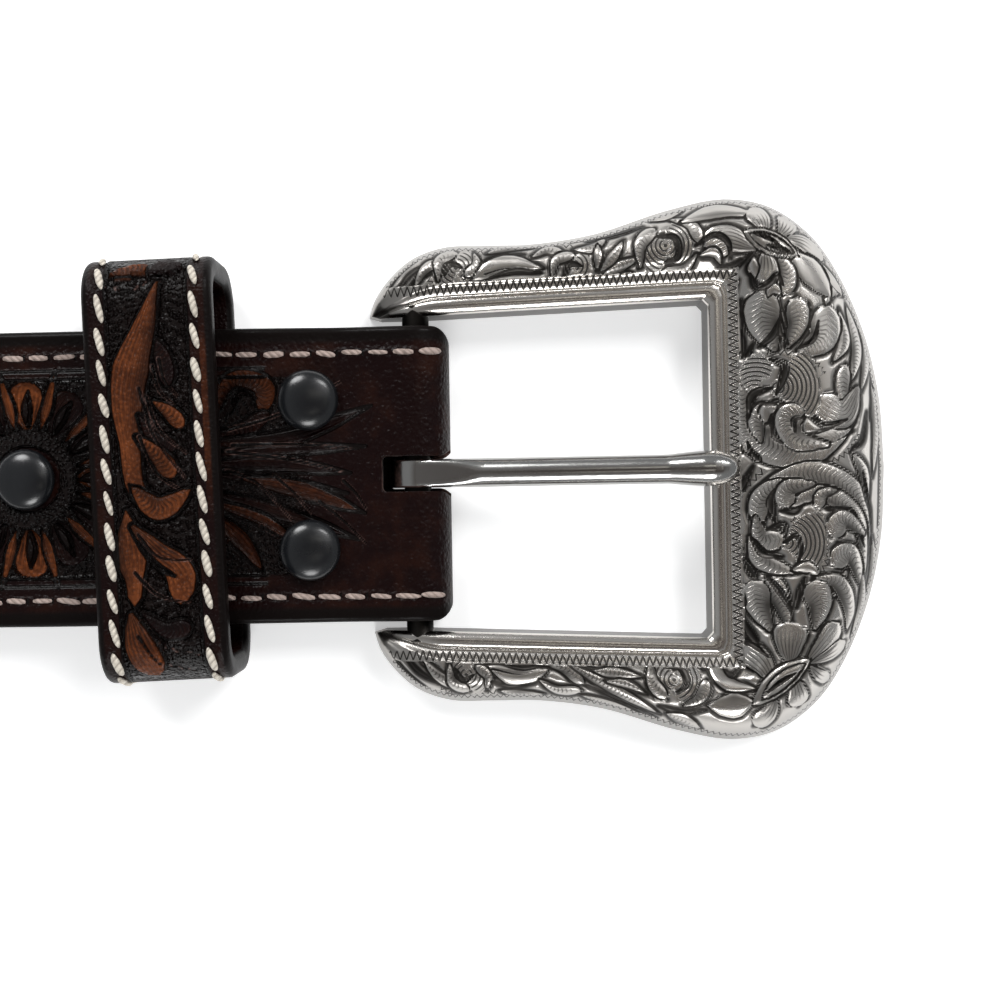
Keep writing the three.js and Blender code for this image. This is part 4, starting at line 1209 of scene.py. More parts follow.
class BELT_OT_snaps(bpy.types.Operator):
    """Model the caps of the three snaps and their posts"""
    bl_idname = "belt.snaps"
    bl_label = "Snaps"

    def execute(self, context):
        material = snap_material(context.scene.belt_colours)
        for name, (x, y) in SNAP_PLACES.items():
            tilt = math.atan(float(interface_z(x + 0.5) - interface_z(x - 0.5)))
            seat = Matrix.Translation((x, y, float(interface_z(x)))) @ Matrix.Rotation(-tilt, 4, "Y")
            clear = float(opening(x)) + LAYER_GAP
            up = Matrix.Translation((0, 0, clear + STRAP_THICK))
            down = Matrix.Translation((0, 0, -clear - BILLET_THICK))
            cap = turned_piece(f"{name}_cap", CAP_PROFILE, TO_WORLD @ seat @ up, 10)
            post = turned_piece(f"{name}_post", POST_PROFILE, TO_WORLD @ seat @ down, 7)
            settle(cap, "belt", material, "black_snap", f"snap_cap_{name}")
            settle(post, "belt", material, "black_snap", f"snap_post_{name}")
        return {"FINISHED"}


# Buckle frame

BAR_RADIUS = 1.75
ARM_CLEARANCE = 1.4  # from the strap's edge to an arm
WINDOW_REACH = 38.0
WINDOW_HALF = STRAP_HALF + ARM_CLEARANCE
WINDOW_FLARE = 1.5
CROWN_WIDTH = 15.55
WALL = 6.8
CREST = 10.2
CAST_WALL = 2.4
FULL_WIDTH = 9.0  # sections narrower than this have their edge details scaled down

# From the middle of the far side to the end of an arm: the window's line and the outline as shares,
# then shares of the crest's and the wall's height and of the hollow's depth
STATIONS = (
    # inner x, inner y, outer x, outer y, crest, wall, hollow
    (1.0, 0.0, 1.0, 0.0, 1.0, 1.0, 1.0),
    (1.0, 0.3, 0.991, 0.458, 1.0, 1.0, 1.0),
    (1.0, 0.6, 0.962, 0.864, 0.99, 1.0, 1.0),
    (1.0, 0.84, 0.908, 1.337, 0.98, 1.0, 1.0),
    (1.0, 0.965, 0.848, 1.681, 0.97, 1.0, 0.9),
    (0.982, 1.0, 0.762, 1.926, 0.95, 1.0, 0.8),
    (0.93, 1.0, 0.665, 2.0, 0.92, 1.0, 0.7),
    (0.8, 1.0, 0.545, 1.915, 0.88, 0.99, 0.6),
    (0.6, 1.0, 0.385, 1.72, 0.84, 0.98, 0.4),
    (0.42, 1.0, 0.25, 1.642, 0.82, 0.97, 0.3),
    (0.25, 1.0, 0.15, 1.637, 0.8, 0.95, 0.0),
    (0.13, 1.0, 0.06, 1.626, 0.77, 0.93, 0.0),
    (0.05, 1.0, -0.01, 1.526, 0.72, 0.9, 0.0),
    (-0.02, 1.0, -0.06, 1.353, 0.64, 0.85, 0.0),
    (-0.08, 1.0, -0.09, 1.179, 0.54, 0.72, 0.0),
    (-0.12, 1.0, -0.102, 1.034, 0.4, 0.5, 0.0),
)

# The window's bead and the groove beside it: distance from the window and height over the wall
BEAD = ((0.0, -0.35), (0.12, -0.02), (0.45, 0.3), (0.95, 0.5), (1.45, 0.5), (1.85, 0.36), (2.05, 0.12),
        (2.25, 0.12), (2.45, 0.42), (2.8, 0.62))
# The dome beyond it, as shares of the section's width and of its height
DOME = ((0.38, 0.8), (0.47, 0.96), (0.56, 1.0), (0.68, 0.965), (0.8, 0.83), (0.89, 0.61), (0.955, 0.36),
        (0.99, 0.2), (1.0, 0.1))
SIDE_COLUMNS = 5
BEAD_COLUMNS = 34
DOME_COLUMNS = 92
BORDER_START = 2.45  # the band of teeth along the window
BORDER_STOP = 3.8
RIM_BAND = 1.3  # plain metal along the outline
RIM_TEETH = 0.1  # how far inside the band's edge the rim's own teeth lie
FRAME_ROWS = 660


def window_half_at(x):
    """Half the window's width, which grows away from the bar."""
    return WINDOW_HALF + WINDOW_FLARE * np.clip(x / WINDOW_REACH, 0, 1)


def frame_stations():
    """Rows from one arm's end round to the other, evenly spaced along the middle of the section."""
    inner_x, inner_y, outer_x, outer_y, crest, wall, hollow = np.array(STATIONS).T
    outline = np.column_stack([
        outer_x * FRAME_REACH,
        WINDOW_HALF * np.minimum(outer_y, 1) + CROWN_WIDTH * np.maximum(outer_y - 1, 0),
    ])
    heights = np.column_stack([crest * CREST, wall * WALL])
    stations = np.arange(len(STATIONS))

    def rows_at(at):
        x = np.interp(at, stations, inner_x) * WINDOW_REACH
        y = np.interp(at, stations, inner_y) * window_half_at(x)
        depth = np.interp(at, stations, hollow)
        return np.column_stack([x, y, through(outline, at), through(heights, at), depth])

    fine = np.linspace(0, stations[-1], 3000)
    rows = rows_at(fine)
    length = lengths_along(0.35 * rows[:, 0:2] + 0.65 * rows[:, 2:4])
    half = rows_at(np.interp(np.linspace(0, length[-1], FRAME_ROWS // 2), length, fine))
    mirrored = half[:0:-1] * (1, -1, 1, -1, 1, 1, 1)
    return np.vstack([mirrored, half])


def frame_section(row):
    """One section, from the window's foot over the top to the back: distances from the window, heights."""
    width = np.linalg.norm(row[2:4] - row[0:2])
    crest, wall, hollow = row[4:7]
    fit = min(1, width / FULL_WIDTH)
    bead = np.array(BEAD) * fit + (0, wall)
    base = wall + fit * 0.8
    dome = [(share * width, base + (crest - base) * lift if share < 0.5 else crest * lift)
            for share, lift in DOME]
    side = np.column_stack([np.zeros(SIDE_COLUMNS), np.linspace(0.5, wall - 0.6 * fit, SIDE_COLUMNS)])
    bead_curve = even(through(bead, np.linspace(0, len(bead) - 1, 120)), BEAD_COLUMNS)
    join = [bead[-2], bead[-1], (3.6 * fit, wall + 0.86 * fit)]
    whole = through(join + dome, np.linspace(0, len(join) + len(dome) - 1, 400))
    beyond = whole[whole[:, 0] >= bead[-1][0]]
    dome_curve = even(beyond, DOME_COLUMNS + 1)[1:]
    depth = hollow * (crest - CAST_WALL)
    rim, slope, foot = 1.8 * fit, 1.2 * fit, 0.5 * fit
    back = np.array([(width, 0.5 * fit), (width - foot, 0.02), (width - rim, 0.02),
                     (width - rim - slope, 0.7 * depth + 0.02), (0.6 * width, depth + 0.02),
                     (0.45 * width, 0.93 * depth + 0.02), (rim + slope, 0.6 * depth + 0.02), (rim, 0.02),
                     (foot, 0.02)])
    return np.vstack([side, bead_curve, dome_curve, back])


class BELT_OT_frame(bpy.types.Operator):
    """Model the buckle's frame: a cast dome with an engraved face, a hollow back and its bar"""
    bl_idname = "belt.frame"
    bl_label = "Buckle Frame"

    def execute(self, context):
        sizes, colours = context.scene.belt_sizes, context.scene.belt_colours
        stations = frame_stations()
        profile = np.array([frame_section(row) for row in stations])
        inner, outer = stations[:, 0:2], stations[:, 2:4]
        out = (outer - inner) / np.linalg.norm(outer - inner, axis=1)[:, None]
        mitre = np.where(inner[:, :1] > 5, 1 / np.abs(out).max(1, keepdims=True), 1) - 1
        distance = profile[..., 0] * (1 + mitre * (1 - smooth((profile[..., 0] - 3) / 5)))
        plan = inner[:, None, :] + distance[..., None] * out[:, None, :]
        rows = np.concatenate([plan, profile[..., 1:]], axis=-1)
        start, stop = SIDE_COLUMNS, SIDE_COLUMNS + BEAD_COLUMNS + DOME_COLUMNS
        shown = (slice(None), slice(start, stop))
        face = rows[shown]
        chart = Chart(face[..., :2].reshape(-1, 2))
        draw(chart, ENGRAVING)
        self.borders(chart, outer)
        relief = (sizes.engraving_depth / MM) * chart.relief.reshape(face.shape[:2])
        normal = normals_of(face)
        normal *= np.sign(normal[..., 2:])
        rows[shown] += normal * relief[..., None]
        polish = np.zeros(rows.shape[:2])
        polish[:, :start + BEAD_COLUMNS - 8] = 1
        fields = spread_fields(chart, rows.shape[:2], shown, polish)
        fields["polish"] = fields.pop("burnish")
        # Painted shade: the window's walls and the back are darkened, not to mirror the bright floor
        fields["soot"][:, :start] = 0.8
        fields["soot"][:, stop:] = 0.4
        piece = ring_mesh("engraved_frame", rows, fields, sharp=55)
        bar = bar_cylinder(BAR_RADIUS, 2 * (WINDOW_HALF + ARM_CLEARANCE), 48)
        combine(piece, finished("bar", bar), "UNION")
        settle(piece, "buckle", antique_silver(colours), "antique_silver", "buckle_frame")
        return {"FINISHED"}

    def borders(self, chart, outer):
        """Leaves plain metal at the window and the rim, and a row of teeth inside each."""
        x, y = chart.places.T
        beyond = x - WINDOW_REACH
        above = np.abs(y) - window_half_at(x)
        across_end = beyond > above
        from_window = np.where(across_end, beyond, above)
        rim, along = nearest(chart.places, outer)
        plain = (from_window < BORDER_STOP) | (rim < RIM_BAND)
        for values in (chart.ground, chart.shade, chart.zig, chart.relief, chart.soot):
            values[plain] = 0
        # Painted shade, darkening the dome's slope towards the outline
        chart.soot = np.maximum(chart.soot, 0.4 * smooth(1 - rim / 6))
        chart.edge[plain] = FAR
        chart.pale[plain] = FAR
        chart.sink(0.55, 0.3, 0.75)
        middle = (BORDER_START + BORDER_STOP) / 2
        teeth = (from_window > BORDER_START) & (from_window < BORDER_STOP) & (rim > RIM_BAND)
        chart.zig[teeth] = 1
        chart.zig_u[teeth] = np.where(across_end, y, x)[teeth]
        chart.zig_v[teeth] = 0.5 * (from_window - middle)[teeth]
        dots = (rim > RIM_BAND - 0.5) & (rim < RIM_BAND + 0.3) & (from_window > BORDER_STOP)
        chart.zig[dots] = 1
        chart.zig_u[dots] = along[dots]
        chart.zig_v[dots] = (rim - RIM_BAND + RIM_TEETH)[dots]


def nearest(places, path):
    """Each place's distance from a path, and the length along the path to the nearest point of it."""
    path = even(path, 1500)
    step = np.linalg.norm(path[1] - path[0])
    far, along = np.empty(len(places)), np.empty(len(places))
    batch = 4000
    for start in range(0, len(places), batch):
        part = slice(start, start + batch)
        gaps = np.linalg.norm(places[part, None] - path, axis=-1)
        spot = gaps.argmin(1)
        far[part] = gaps[np.arange(len(spot)), spot]
        along[part] = spot * step
    return far, along


# Prong

RING_RADIUS = 3.6
RING_WIDTH = 3.6
SHANK_RADIUS = 1.9
TIP_RADIUS = 2.3
OVERLAP = 3.3
BEAD_TOP = (1.4, 0.5)  # of the window's bead: distance from the window and height over the wall
FACET_END = 9.0  # where the flat at the prong's root has run out
NOSE = 9.0  # length of the shaped end
# Distance back from the very end, and the radius there as a share of the tip's
NOSE_PROFILE = ((0, 0.02), (0.1, 0.24), (0.5, 0.52), (1.2, 0.74), (2.2, 0.91), (3.2, 0.985), (4.4, 1.0),
                (6.5, 0.93), (NOSE, SHANK_RADIUS / TIP_RADIUS))


class BELT_OT_prong(bpy.types.Operator):
    """Model the prong: a flat ring round the bar drawn out into a round shank"""
    bl_idname = "belt.prong"
    bl_label = "Prong"

    def execute(self, context):
        piece = self.shank()
        combine(piece, self.ring(), "UNION")
        combine(piece, finished("bore", bar_cylinder(WRAP_RADIUS, 3 * RING_WIDTH, 64)), "DIFFERENCE")
        piece.data.shade_smooth()
        piece.data.set_sharp_from_angle(angle=math.radians(35))
        settle(piece, "prong", polished_silver(context.scene.belt_colours), "polished_silver", "prong")
        return {"FINISHED"}

    def shank(self):
        """The shank climbs from the bar to rest on the window's bead. Its root is square, its end round."""
        start = BAR_Z + RING_RADIUS - SHANK_RADIUS
        rest = WALL + BEAD_TOP[1] + LAYER_GAP + TIP_RADIUS
        climb = math.atan2(rest - start, WINDOW_REACH + BEAD_TOP[0])
        length = (WINDOW_REACH + OVERLAP) / math.cos(climb)
        root, fine = 12, 8
        along = np.concatenate([np.linspace(0, root, 60), np.linspace(root, length - fine, 60)[1:],
                                length - fine * np.cos(np.linspace(0, math.pi / 2, 50))[1:]])
        back = length - along
        radius = np.where(back < NOSE, TIP_RADIUS * np.interp(back, *zip(*NOSE_PROFILE)), SHANK_RADIUS)
        turn = np.linspace(0, 2 * math.pi, 65)[:-1]
        square = 2 + 7 * (1 - smooth(along / FACET_END))
        cos, sin = np.cos(turn)[None, :], np.sin(turn)[None, :]
        power = square[:, None]
        reach = radius[:, None] / (np.abs(cos) ** power + np.abs(sin) ** power) ** (1 / power)
        reach = np.where(power > 2.01, reach, radius[:, None])
        across, up = reach * cos, reach * sin
        narrow = np.where(along < FACET_END, 0.93 + 0.07 * along / FACET_END, 1)[:, None]
        x = along[:, None] * math.cos(climb) - up * math.sin(climb)
        z = start + along[:, None] * math.sin(climb) + up * math.cos(climb)
        return ring_mesh("polished_prong", np.stack([x, across * narrow, z], axis=-1))

    def ring(self):
        """The ring, with its rims broken."""
        bm = bar_cylinder(RING_RADIUS, RING_WIDTH, 96)
        rims = [edge for edge in bm.edges if max(len(face.verts) for face in edge.link_faces) > 4]
        bmesh.ops.bevel(bm, geom=rims, offset=0.25 * MM, segments=3, profile=0.5, affect="EDGES",
                        material=-1)
        return finished("prong_ring", bm)


# Materials

class Nodes:
    """Adds nodes to a tree and links them."""

    def __init__(self, tree):
        self.tree = tree

    def add(self, kind, named=None, *values, **settings):
        node = self.tree.nodes.new("ShaderNode" + kind)
        for name, value in settings.items():
            setattr(node, name, value)
        for socket, value in zip(node.inputs, values):
            self.plug(socket, value)
        for name, value in (named or {}).items():
            self.plug(node.inputs[name], value)
        return node

    def plug(self, socket, value):
        if isinstance(value, bpy.types.Node):
            value = value.outputs[0]
        if isinstance(value, bpy.types.NodeSocket):
            self.tree.links.new(value, socket)
        elif value is not None:
            socket.default_value = value

    def math(self, operation, *values, clamp=False):
        return self.add("Math", None, *values, operation=operation, use_clamp=clamp)

    def times(self, first, second):
        return self.math("MULTIPLY", first, second)

    def darkest(self, first, *others):
        """The strongest of several masks at each place, at most 1."""
        for other in others:
            first = self.math("MAXIMUM", first, other, clamp=True)
        return first

    def ramp(self, value, low, high, start=0.0, stop=1.0):
        """Eases from start to stop as the value goes from low to high."""
        return self.add("MapRange", None, value, low, high, start, stop, interpolation_type="SMOOTHSTEP")

    def blend(self, factor, first, second):
        """Mixes two colours."""
        mix = self.add("Mix", None, data_type="RGBA")
        self.plug(mix.inputs[0], factor)
        self.plug(mix.inputs[6], first)
        self.plug(mix.inputs[7], second)
        return mix.outputs[2]

    def value(self, factor, first, second):
        """Mixes two numbers."""
        mix = self.add("Mix", None, data_type="FLOAT")
        for index, item in zip((0, 2, 3), (factor, first, second)):
            self.plug(mix.inputs[index], item)
        return mix.outputs[0]

    def attribute(self, name):
        return self.add("Attribute", attribute_name=name).outputs["Fac"]

    def noise(self, vector, scale, detail=2.0, roughness=0.5):
        named = {"Vector": vector, "Scale": scale, "Detail": detail, "Roughness": roughness}
        return self.add("TexNoise", named).outputs[0]

    def group(self, name, **named):
        node = self.add("Group", node_tree=bpy.data.node_groups[name])
        for key, value in named.items():
            self.plug(node.inputs[key.replace("_", " ").title()], value)
        return node


def new_group(name, inputs, outputs):
    """A shader node group with its sockets, and its tree, input and output nodes."""
    tree = bpy.data.node_groups.new(name, "ShaderNodeTree")
    for socket, (kind, default) in inputs.items():
        made = tree.interface.new_socket(socket, in_out="INPUT", socket_type=kind)
        if default is not None:
            made.default_value = default
    for socket in outputs:
        tree.interface.new_socket(socket, in_out="OUTPUT", socket_type="NodeSocketFloat")
    return Nodes(tree), tree.nodes.new("NodeGroupInput"), tree.nodes.new("NodeGroupOutput")


PLY_PITCH = 0.00095  # of the thread's plies, in metres
TOOTH_PITCH = 0.86  # of the zigzag borders, in millimetres
NUMBER = "NodeSocketFloat"
VECTOR = "NodeSocketVector"


def build_groups():
    """The effects that several materials share."""
    nodes, given, result = new_group("Cut Lines", {"Width": (NUMBER, 0.3)}, ["Mask"])
    width = given.outputs[0]
    nodes.plug(result.inputs[0], nodes.ramp(nodes.attribute("edge"), nodes.times(width, 0.45), width, 1, 0))

    nodes, given, result = new_group("Shading Lines", {"Pitch": (NUMBER, 0.42)}, ["Mask"])
    turns = nodes.math("DIVIDE", nodes.attribute("phase"), given.outputs[0])
    wave = nodes.math("SINE", nodes.times(turns, 2 * math.pi))
    nodes.plug(result.inputs[0], nodes.times(nodes.ramp(wave, -0.1, 0.6), nodes.attribute("shade")))

    nodes, given, result = new_group(
        "Stipple", {"Vector": (VECTOR, None), "Scale": (NUMBER, 2000.0)}, ["Beads"])
    cells = nodes.add("TexVoronoi", {"Vector": given.outputs[0], "Scale": given.outputs[1]}, feature="F1")
    nodes.plug(result.inputs[0], nodes.ramp(cells.outputs["Distance"], 0.15, 0.6, 1, 0))

    nodes, given, result = new_group(
        "Leather Grain", {"Vector": (VECTOR, None), "Scale": (NUMBER, 1.0)}, ["Height", "Cloud"])
    place, scale = given.outputs["Vector"], given.outputs["Scale"]
    pores = nodes.noise(place, nodes.times(scale, 2600), 3, 0.6)
    cells = nodes.add("TexVoronoi", {"Vector": place, "Scale": nodes.times(scale, 1500)}, feature="F1")
    creases = nodes.ramp(cells.outputs["Distance"], 0.0, 0.7, 1, 0)
    nodes.plug(result.inputs[0], nodes.math("ADD", nodes.times(pores, 0.6), nodes.times(creases, 0.4)))
    nodes.plug(result.inputs[1], nodes.noise(place, nodes.times(scale, 190), 5, 0.62))

    nodes, given, result = new_group("Metal Wear", {"Vector": (VECTOR, None)}, ["Scratches", "Smears"])
    stretched = nodes.add("Mapping", {"Vector": given.outputs[0], "Scale": (1.0, 9.0, 1.0)})
    nodes.plug(result.inputs[0], nodes.noise(stretched, 1400, 4, 0.7))
    nodes.plug(result.inputs[1], nodes.noise(given.outputs[0], 120, 4, 0.6))


def new_material(name):
    """An empty node material: its nodes, its surface shader and the Object coordinates."""
    material = bpy.data.materials.new(name)
    material.use_nodes = True
    nodes = Nodes(material.node_tree)
    shader = material.node_tree.nodes["Principled BSDF"]
    place = nodes.add("TexCoord").outputs["Object"]
    return material, nodes, shader, place


def bump(nodes, shader, height, distance):
    """Raises the surface and its coat by a height, at a distance in metres."""
    node = nodes.add("Bump", {"Strength": 1.0, "Distance": distance, "Height": height})
    nodes.plug(shader.inputs["Normal"], node)
    nodes.plug(shader.inputs["Coat Normal"], node)


def leather_material(name, colours, grain):
    """Antiqued leather: dark in the ground and cuts, rubbed to russet on what stands up."""
    material, nodes, shader, place = new_material(name)
    skin = nodes.group("Leather Grain", vector=place, scale=grain)
    cuts = nodes.group("Cut Lines", width=0.3)
    shading = nodes.group("Shading Lines", pitch=0.6)
    beads = nodes.group("Stipple", vector=place, scale=1900.0)
    ground, stain, soot = nodes.attribute("ground"), nodes.attribute("stain"), nodes.attribute("soot")
    burnish = nodes.attribute("burnish")
    cloud, pores = skin.outputs["Cloud"], skin.outputs["Height"]
    rubbed = nodes.ramp(nodes.math("MULTIPLY_ADD", pores, 0.5, nodes.times(cloud, 0.75)), 0.38, 0.8)
    russet = nodes.times(stain, nodes.math("MULTIPLY_ADD", rubbed, 0.65, 0.3))
    lifted = nodes.times(nodes.ramp(cloud, 0.42, 0.8), 0.07)
    base = nodes.blend(nodes.math("MAXIMUM", russet, lifted), colours.leather, colours.russet)
    # Dark mask: real blackening of cuts, ground and edges, and painted shade on the forms' sides
    dark = nodes.darkest(cuts, nodes.times(shading, 0.75), nodes.times(soot, 0.92),
                         nodes.times(ground, 0.85), nodes.ramp(burnish, 1.5, 2.4, 1, 0))
    base = nodes.blend(dark, base, colours.burnish)
    # Painted highlight: a pale line on the lip beside each fine cut, where light would catch it
    painted_highlight_tint = nodes.times(nodes.ramp(nodes.attribute("pale"), 0.03, 0.12, 1, 0), rubbed)
    base = nodes.blend(nodes.times(painted_highlight_tint, 0.7), base, colours.painted_highlight_tint)
    nodes.plug(shader.inputs["Base Color"], base)
    nodes.plug(shader.inputs["Roughness"],
               nodes.value(ground, nodes.math("MULTIPLY_ADD", cloud, 0.25, 0.28), 0.3))
    shader.inputs["Specular IOR Level"].default_value = 0.05
    shader.inputs["Coat Roughness"].default_value = 0.1
    nodes.plug(shader.inputs["Coat Weight"],
               nodes.math("MULTIPLY_ADD", ground, 0.16, nodes.ramp(burnish, 1.2, 2.2, 0.06, 0.16)))
    height = nodes.times(pores, nodes.ramp(burnish, 0.8, 2.4, 0.08, 0.4))
    height = nodes.math("ADD", height, nodes.times(nodes.times(beads, ground), 1.6))
    height = nodes.math("SUBTRACT", height, cuts)
    height = nodes.math("SUBTRACT", height, nodes.times(shading, 0.8))
    bump(nodes, shader, height, 0.0004)
    return material


def thread_material(name, thread_colour, slant):
    """Waxed thread of two twisted plies, whose grooves lean by the slant, 1 or -1."""
    material, nodes, shader, place = new_material(name)
    split = nodes.add("SeparateXYZ", None, place)
    lean = nodes.math("ADD", split.outputs[0], nodes.times(split.outputs[1], slant))
    ply = nodes.math("SINE", nodes.times(lean, 2 * math.pi / PLY_PITCH))
    grime = nodes.noise(place, 900, 4, 0.65)
    soiled = nodes.ramp(grime, 0.42, 0.75)
    # Painted shade in the grooves between the plies; the grime noise is real soiling
    groove = nodes.ramp(ply, -1.0, -0.2, 1, 0)
    grime_and_painted_groove_shade = nodes.math("MAXIMUM", nodes.times(groove, 0.5), nodes.times(soiled, 0.4))
    nodes.plug(shader.inputs["Base Color"], nodes.blend(grime_and_painted_groove_shade, thread_colour, (0.09, 0.055, 0.04, 1)))
    shader.inputs["Roughness"].default_value = 0.62
    shader.inputs["Sheen Weight"].default_value = 0.2
    fibres = nodes.math("ADD", nodes.times(ply, 0.6), nodes.times(grime, 0.5))
    bump(nodes, shader, fibres, 0.00012)
    return material


def snap_material(colours):
    """Satin black enamel, a little rubbed."""
    material, nodes, shader, place = new_material("black_snap")
    wear = nodes.group("Metal Wear", vector=place)
    smears = wear.outputs["Smears"]
    nodes.plug(shader.inputs["Base Color"], nodes.blend(smears, colours.snap, (0.008, 0.009, 0.011, 1)))
    nodes.plug(shader.inputs["Roughness"], nodes.math("MULTIPLY_ADD", smears, 0.14, 0.2))
    shader.inputs["Specular IOR Level"].default_value = 0.35
    shader.inputs["Coat Weight"].default_value = 0.5
    shader.inputs["Coat Roughness"].default_value = 0.14
    bump(nodes, shader, wear.outputs["Scratches"], 0.000008)
    return material


def antique_silver(colours):
    """Engraved silver: bright on top, blackened in the cuts, the shading lines and the hollows."""
    material, nodes, shader, place = new_material("antique_silver")
    wear = nodes.group("Metal Wear", vector=place)
    cuts = nodes.group("Cut Lines", width=0.24)
    shading = nodes.group("Shading Lines", pitch=0.56)
    ground, polish, soot = nodes.attribute("ground"), nodes.attribute("polish"), nodes.attribute("soot")
    smears = wear.outputs["Smears"]
    near = nodes.times(ground, nodes.ramp(nodes.attribute("edge"), 0.14, 0.7, 0.96, 0.2))
    # Dark mask: real oxide in cuts, lines and ground, and painted shade on forms, walls and rim
    dark = nodes.darkest(nodes.times(cuts, 0.97), nodes.times(shading, 0.9), nodes.math("POWER", soot, 0.7),
                         near, nodes.times(zigzag(nodes), 0.92))
    haze = nodes.blend(nodes.times(smears, 0.4), colours.silver, (0.4, 0.37, 0.35, 1))
    nodes.plug(shader.inputs["Base Color"], nodes.blend(dark, haze, colours.oxide))
    shader.inputs["Metallic"].default_value = 1.0
    soft = nodes.math("MULTIPLY_ADD", smears, 0.16, nodes.value(polish, 0.15, 0.09))
    nodes.plug(shader.inputs["Roughness"], nodes.value(dark, soft, 0.45))
    height = nodes.math("MULTIPLY_ADD", wear.outputs["Scratches"], 0.1, nodes.times(dark, -1.0))
    bump(nodes, shader, height, 0.0001)
    return material


def zigzag(nodes):
    """A mask of the fine zigzag lines that border the engraving."""
    turns = nodes.math("FRACT", nodes.math("DIVIDE", nodes.attribute("zig_u"), TOOTH_PITCH))
    peak = nodes.math("ABSOLUTE", nodes.math("SUBTRACT", turns, 0.5))
    wave = nodes.math("MULTIPLY_ADD", peak, 1.2, -0.3)
    away = nodes.math("ABSOLUTE", nodes.math("SUBTRACT", nodes.attribute("zig_v"), wave))
    line = nodes.ramp(away, 0.1, 0.2, 1, 0)
    return nodes.times(line, nodes.ramp(nodes.attribute("zig"), 0.9, 0.99))


def polished_silver(colours):
    """Polished silver with faint smears and scratches."""
    material, nodes, shader, place = new_material("polished_silver")
    wear = nodes.group("Metal Wear", vector=place)
    smears = wear.outputs["Smears"]
    nodes.plug(shader.inputs["Base Color"],
               nodes.blend(nodes.times(smears, 0.3), colours.prong, (0.5, 0.49, 0.47, 1)))
    shader.inputs["Metallic"].default_value = 1.0
    nodes.plug(shader.inputs["Roughness"], nodes.math("MULTIPLY_ADD", smears, 0.14, 0.1))
    bump(nodes, shader, wear.outputs["Scratches"], 0.000006)
    return material


# Stage

# Wide soft suns, so that the light is even along the belt: where each comes from, how wide it is in
# degrees, and its strength
SOFT_LIGHTS = (
    ("key", (0.42, 0.46, 0.6), 24, 1.8),
    ("low", (0.0, -0.62, 0.42), 24, 1.2),
    ("top", (-0.3, 0.6, 0.45), 24, 1.6),
)
WORLD_COLOUR = (0.96, 0.98, 1.0, 1)
WORLD_STRENGTH = 0.32
FLOOR_HALF = 15  # in metres
FLOOR_GLOW = 0.42
CARD_HEIGHT = 0.26  # of the dark card over the belt, which only the belt's gloss shows
CARD_HALF = 0.24
CARD_PLACE = (95, -10)  # its middle, in millimetres from the bar
# Pale strips on the card: middle from the bar, half length and half width in millimetres, strength
CARD_STRIPS = (
    ((46, 66), (56, 20), 1.0),
    ((30, -60), (44, 15), 0.8),
    ((150, 10), (22, 70), 0.35),
)
CAMERA_PLACE = (10.7, -3.6)  # over the belt, in millimetres from the bar
CAMERA_ROLL = math.radians(-0.95)
CAMERA_LENS = 53.75


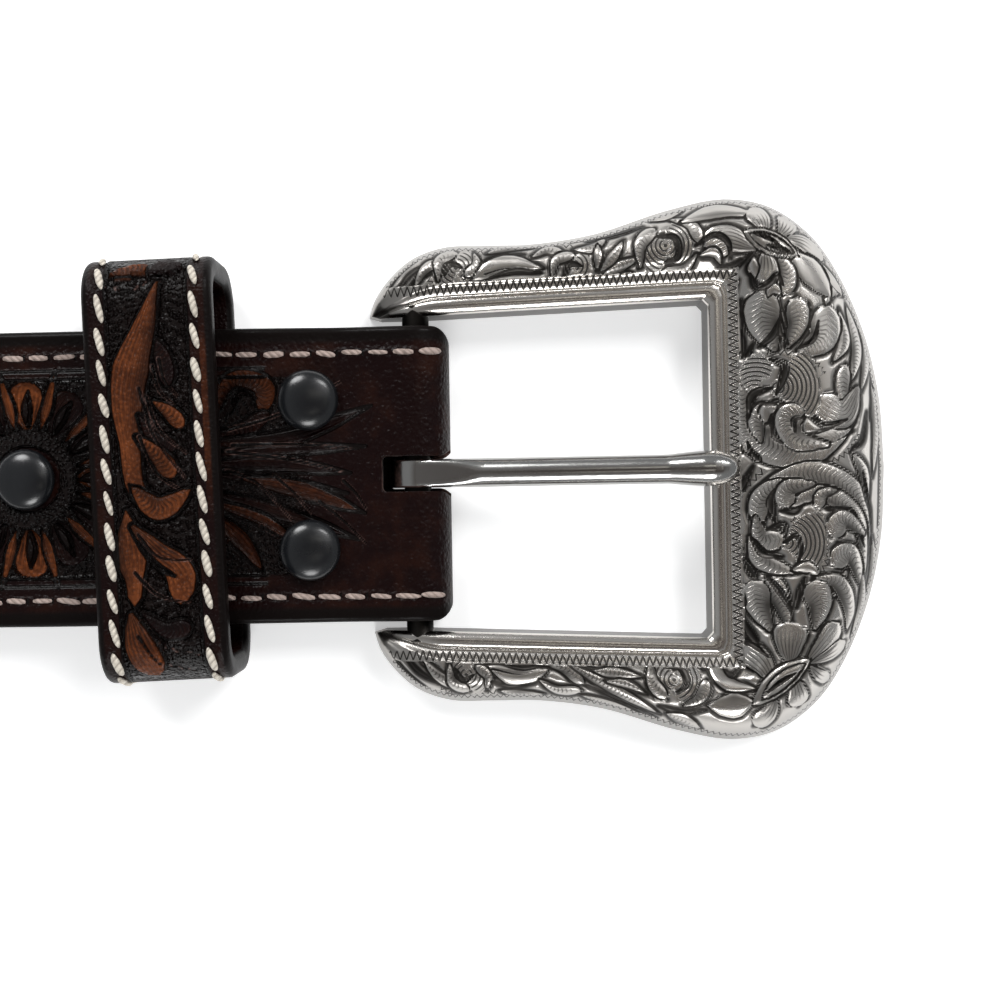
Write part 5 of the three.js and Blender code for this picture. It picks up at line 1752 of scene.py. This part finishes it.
class BELT_OT_stage(bpy.types.Operator):
    """Set the floor, the studio light and the camera"""
    bl_idname = "belt.stage"
    bl_label = "Stage"

    def execute(self, context):
        sizes, colours = context.scene.belt_sizes, context.scene.belt_colours
        self.camera(context, sizes)
        self.floor(colours)
        self.card(context)
        self.lights(context)
        context.scene.view_settings.view_transform = "Standard"
        return {"FINISHED"}

    def camera(self, context, sizes):
        data = bpy.data.cameras.new("camera")
        data.lens = CAMERA_LENS
        data.sensor_width = 36
        data.clip_start = 0.01
        camera = bpy.data.objects.new("camera", data)
        camera.location = ((BAR_X + CAMERA_PLACE[0]) * MM, CAMERA_PLACE[1] * MM, sizes.camera_height)
        camera.rotation_euler = (0, 0, CAMERA_ROLL)
        context.collection.objects.link(camera)
        context.scene.camera = camera

    def floor(self, colours):
        bm = bmesh.new()
        bmesh.ops.create_grid(bm, x_segments=1, y_segments=1, size=FLOOR_HALF)
        floor = finished("floor", bm)
        material, nodes, shader, place = new_material("floor")
        grain = nodes.times(nodes.noise(place, 40, 3), 0.02)
        shade = nodes.blend(grain, colours.floor, (0.8, 0.8, 0.8, 1))
        nodes.plug(shader.inputs["Base Color"], shade)
        shader.inputs["Roughness"].default_value = 0.85
        shader.inputs["Specular IOR Level"].default_value = 0.1
        shader.inputs["Emission Color"].default_value = (1, 1, 1, 1)
        shader.inputs["Emission Strength"].default_value = FLOOR_GLOW
        floor.data.materials.append(material)

    def card(self, context):
        """A dim card overhead, so that level metal and leather mirror grey and not the bright studio."""
        bm = bmesh.new()
        bmesh.ops.create_grid(bm, x_segments=1, y_segments=1, size=CARD_HALF)
        spot = Matrix.Translation(((BAR_X + CARD_PLACE[0]) * MM, CARD_PLACE[1] * MM, CARD_HEIGHT))
        bmesh.ops.transform(bm, matrix=spot, verts=bm.verts)
        card = finished("card", bm)
        material, nodes, shader, place = new_material("card")
        offset = nodes.add("VectorMath", None, place, tuple(spot.translation), operation="DISTANCE")
        away = nodes.ramp(offset.outputs["Value"], 0.1, 0.22)
        split = nodes.add("SeparateXYZ", None, place)
        glow = nodes.blend(away, (0.04, 0.026, 0.02, 1), (0.2, 0.2, 0.2, 1))
        for (x, y), (long, wide), strength in CARD_STRIPS:
            beside = nodes.math("ABSOLUTE", nodes.math("SUBTRACT", split.outputs[0], (BAR_X + x) * MM))
            across = nodes.math("ABSOLUTE", nodes.math("SUBTRACT", split.outputs[1], y * MM))
            shape = nodes.times(nodes.ramp(beside, 0.6 * long * MM, 1.2 * long * MM, 1, 0),
                                nodes.ramp(across, 0.5 * wide * MM, 1.3 * wide * MM, 1, 0))
            glow = nodes.blend(nodes.times(shape, strength), glow, (1.0, 0.97, 0.88, 1))
        nodes.plug(shader.inputs["Emission Color"], glow)
        shader.inputs["Emission Strength"].default_value = 1.0
        shader.inputs["Base Color"].default_value = (0, 0, 0, 1)
        card.data.materials.append(material)
        card.visible_camera = False
        card.visible_diffuse = False
        card.visible_shadow = False

    def lights(self, context):
        for name, place, wide, strength in SOFT_LIGHTS:
            data = bpy.data.lights.new(name, "SUN")
            data.angle = math.radians(wide)
            data.energy = strength
            light = bpy.data.objects.new(name, data)
            light.location = place
            light.rotation_euler = Vector(place).to_track_quat("Z", "Y").to_euler()
            context.collection.objects.link(light)
        world = bpy.data.worlds.new("studio")
        world.use_nodes = True
        background = world.node_tree.nodes["Background"]
        background.inputs["Color"].default_value = WORLD_COLOUR
        background.inputs["Strength"].default_value = WORLD_STRENGTH
        context.scene.world = world


class BELT_PT_panel(bpy.types.Panel):
    bl_idname = "BELT_PT_panel"
    bl_label = "Western Tooled Belt"
    bl_space_type = "VIEW_3D"
    bl_region_type = "UI"
    bl_category = "Belt"

    def draw(self, context):
        for operator in OPERATORS:
            self.layout.operator(operator.bl_idname)
        for group in (context.scene.belt_sizes, context.scene.belt_colours):
            for name in group.__annotations__:
                self.layout.prop(group, name)


OPERATORS = (BELT_OT_stage, BELT_OT_strap, BELT_OT_keeper, BELT_OT_stitches, BELT_OT_snaps, BELT_OT_frame,
             BELT_OT_prong)
CLASSES = (BeltSizes, BeltColours, *OPERATORS, BELT_PT_panel)


def register():
    for item in CLASSES:
        bpy.utils.register_class(item)
    bpy.types.Scene.belt_sizes = bpy.props.PointerProperty(type=BeltSizes)
    bpy.types.Scene.belt_colours = bpy.props.PointerProperty(type=BeltColours)


def unregister():
    del bpy.types.Scene.belt_sizes
    del bpy.types.Scene.belt_colours
    for item in reversed(CLASSES):
        bpy.utils.unregister_class(item)


def main():
    register()
    build_groups()
    for name in ("stage", "strap", "keeper", "stitches", "snaps", "frame", "prong"):
        getattr(bpy.ops.belt, name)()


if __name__ == "__main__":
    main()
